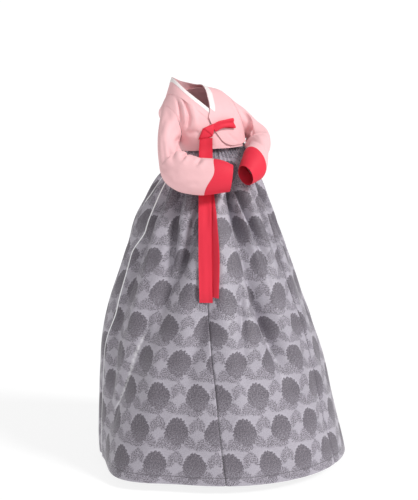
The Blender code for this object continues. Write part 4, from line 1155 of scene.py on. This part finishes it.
def make_stage():
    scene = bpy.context.scene
    scene.view_settings.view_transform = "Standard"
    scene.view_settings.look = "None"
    camera = bpy.data.cameras.new("Camera")
    camera.lens = LENS
    camera.sensor_width = 36.0
    camera.clip_end = 50.0
    obj = bpy.data.objects.new("Camera", camera)
    scene.collection.objects.link(obj)
    turn, pitch = math.radians(CAMERA_TURN), math.radians(CAMERA_PITCH)
    ahead = Vector((math.sin(turn) * math.cos(pitch), math.cos(turn) * math.cos(pitch), -math.sin(pitch)))
    obj.matrix_world = Matrix.Translation(CAMERA_AT) @ ahead.to_track_quat("-Z", "Y").to_matrix().to_4x4()
    scene.camera = obj
    world = bpy.data.worlds.new("White")
    world.use_nodes = True
    sky = world.node_tree.nodes["Background"]
    sky.inputs["Color"].default_value = (1.0, 1.0, 1.0, 1.0)
    seen = node(world.node_tree, "ShaderNodeLightPath", {})
    feed(world.node_tree, sky, "Strength", seen * (SEEN_WHITE - LIT_WHITE) + LIT_WHITE)
    scene.world = world
    deselect()
    bpy.ops.mesh.primitive_plane_add(size=120.0, location=(0.0, 0.0, FLOOR_Z))
    floor = bpy.context.active_object
    floor.name = "floor"
    mat, _, shader = new_material("floor", 0.9, specular=0.1)
    shader.inputs["Base Color"].default_value = (0.22, 0.22, 0.22, 1.0)
    shader.inputs["Emission Color"].default_value = (1.0, 1.0, 1.0, 1.0)
    shader.inputs["Emission Strength"].default_value = 0.84
    floor.data.materials.append(mat)
    floor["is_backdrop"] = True
    soft_sun("key", E * 0.82 + TOWARD * 0.57, 40.0, 2.5, 14.0)
    soft_sun("front", TOWARD - E * 0.15, 25.0, 0.26, 50.0)
    soft_sun("left", -E - TOWARD * 0.25, 15.0, 0.35, 40.0)


MATERIALS = {}


class HanbokSettings(bpy.types.PropertyGroup):
    pink: bpy.props.FloatVectorProperty(
        name="Jacket colour", description="Colour of the jacket cloth",
        subtype="COLOR", size=3, min=0.0, max=1.0, default=(0.94, 0.545, 0.565))
    red: bpy.props.FloatVectorProperty(
        name="Tie colour", description="Colour of the cuffs and the tie",
        subtype="COLOR", size=3, min=0.0, max=1.0, default=(0.80, 0.028, 0.060))
    white: bpy.props.FloatVectorProperty(
        name="Strip colour", description="Colour of the collar strip",
        subtype="COLOR", size=3, min=0.0, max=1.0, default=(0.94, 0.86, 0.85))
    ground: bpy.props.FloatVectorProperty(
        name="Skirt ground", description="Colour of the skirt's ground",
        subtype="COLOR", size=3, min=0.0, max=1.0, default=(0.42, 0.392, 0.447))
    figure: bpy.props.FloatVectorProperty(
        name="Skirt figure", description="Colour of the skirt's flowers",
        subtype="COLOR", size=3, min=0.0, max=1.0, default=(0.100, 0.086, 0.105))


class HANBOK_OT_materials(bpy.types.Operator):
    """Make the cloths of the jacket, the strip, the tie and the skirt"""
    bl_idname = "hanbok.materials"
    bl_label = "Cloths"

    def execute(self, context):
        props = context.scene.hanbok
        for name, rgb, rough, threads, sheen, slub, specular in (
                ("jacket_cloth", props.pink, 0.66, 900.0, 0.10, 0.05, 0.25),
                ("red_cloth", props.red, 0.60, 1100.0, 0.04, 0.05, 0.22),
                ("collar_strip", props.white, 0.55, 1200.0, 0.10, 0.02, 0.40)):
            MATERIALS[name] = plain_cloth(name, tuple(rgb), rough, threads, sheen, slub, specular)
        # the last colour is the pale edging and painted highlight on the skirt
        MATERIALS["skirt_cloth"] = skirt_cloth("skirt_cloth", tuple(props.ground), tuple(props.figure),
                                               (0.95, 0.94, 0.96), 0.46)
        return {"FINISHED"}


class HANBOK_OT_jacket(bpy.types.Operator):
    """Make the jacket's body, sleeves, cuffs and collar"""
    bl_idname = "hanbok.jacket"
    bl_label = "Jacket"

    def execute(self, context):
        make_body()
        make_sleeves()
        make_collar()
        return {"FINISHED"}


class HANBOK_OT_skirt(bpy.types.Operator):
    """Make the skirt's six widths and its chest band"""
    bl_idname = "hanbok.skirt"
    bl_label = "Skirt"

    def execute(self, context):
        make_skirt()
        make_chest_band()
        return {"FINISHED"}


class HANBOK_OT_tie(bpy.types.Operator):
    """Make the tie's knot, loop and tails"""
    bl_idname = "hanbok.tie"
    bl_label = "Tie"

    def execute(self, context):
        make_tie()
        return {"FINISHED"}


class HANBOK_OT_stage(bpy.types.Operator):
    """Set the camera, the floor and the lights"""
    bl_idname = "hanbok.stage"
    bl_label = "Stage"

    def execute(self, context):
        make_stage()
        return {"FINISHED"}


class HANBOK_PT_panel(bpy.types.Panel):
    """Colours of the hanbok and the steps that make it"""
    bl_label = "Hanbok"
    bl_idname = "HANBOK_PT_panel"
    bl_space_type = "VIEW_3D"
    bl_region_type = "UI"
    bl_category = "Hanbok"

    def draw(self, context):
        props = context.scene.hanbok
        for name in ("pink", "red", "white", "ground", "figure"):
            self.layout.prop(props, name)
        for kind in OPERATORS:
            self.layout.operator(kind.bl_idname)


OPERATORS = (HANBOK_OT_materials, HANBOK_OT_jacket, HANBOK_OT_skirt, HANBOK_OT_tie, HANBOK_OT_stage)
CLASSES = (HanbokSettings,) + OPERATORS + (HANBOK_PT_panel,)


def register():
    for kind in CLASSES:
        bpy.utils.register_class(kind)
    bpy.types.Scene.hanbok = bpy.props.PointerProperty(type=HanbokSettings)


def unregister():
    del bpy.types.Scene.hanbok
    for kind in reversed(CLASSES):
        bpy.utils.unregister_class(kind)


def plain(value):
    return [plain(v) for v in value] if hasattr(value, "__len__") else round(float(value), 5)


def main():
    register()
    deselect()
    bpy.ops.hanbok.materials()
    bpy.ops.hanbok.jacket()
    bpy.ops.hanbok.skirt()
    bpy.ops.hanbok.tie()
    bpy.ops.hanbok.stage()
    {"cad": plain(CAD_BOX), "visual": plain(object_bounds())}


if __name__ == "__main__":
    main()
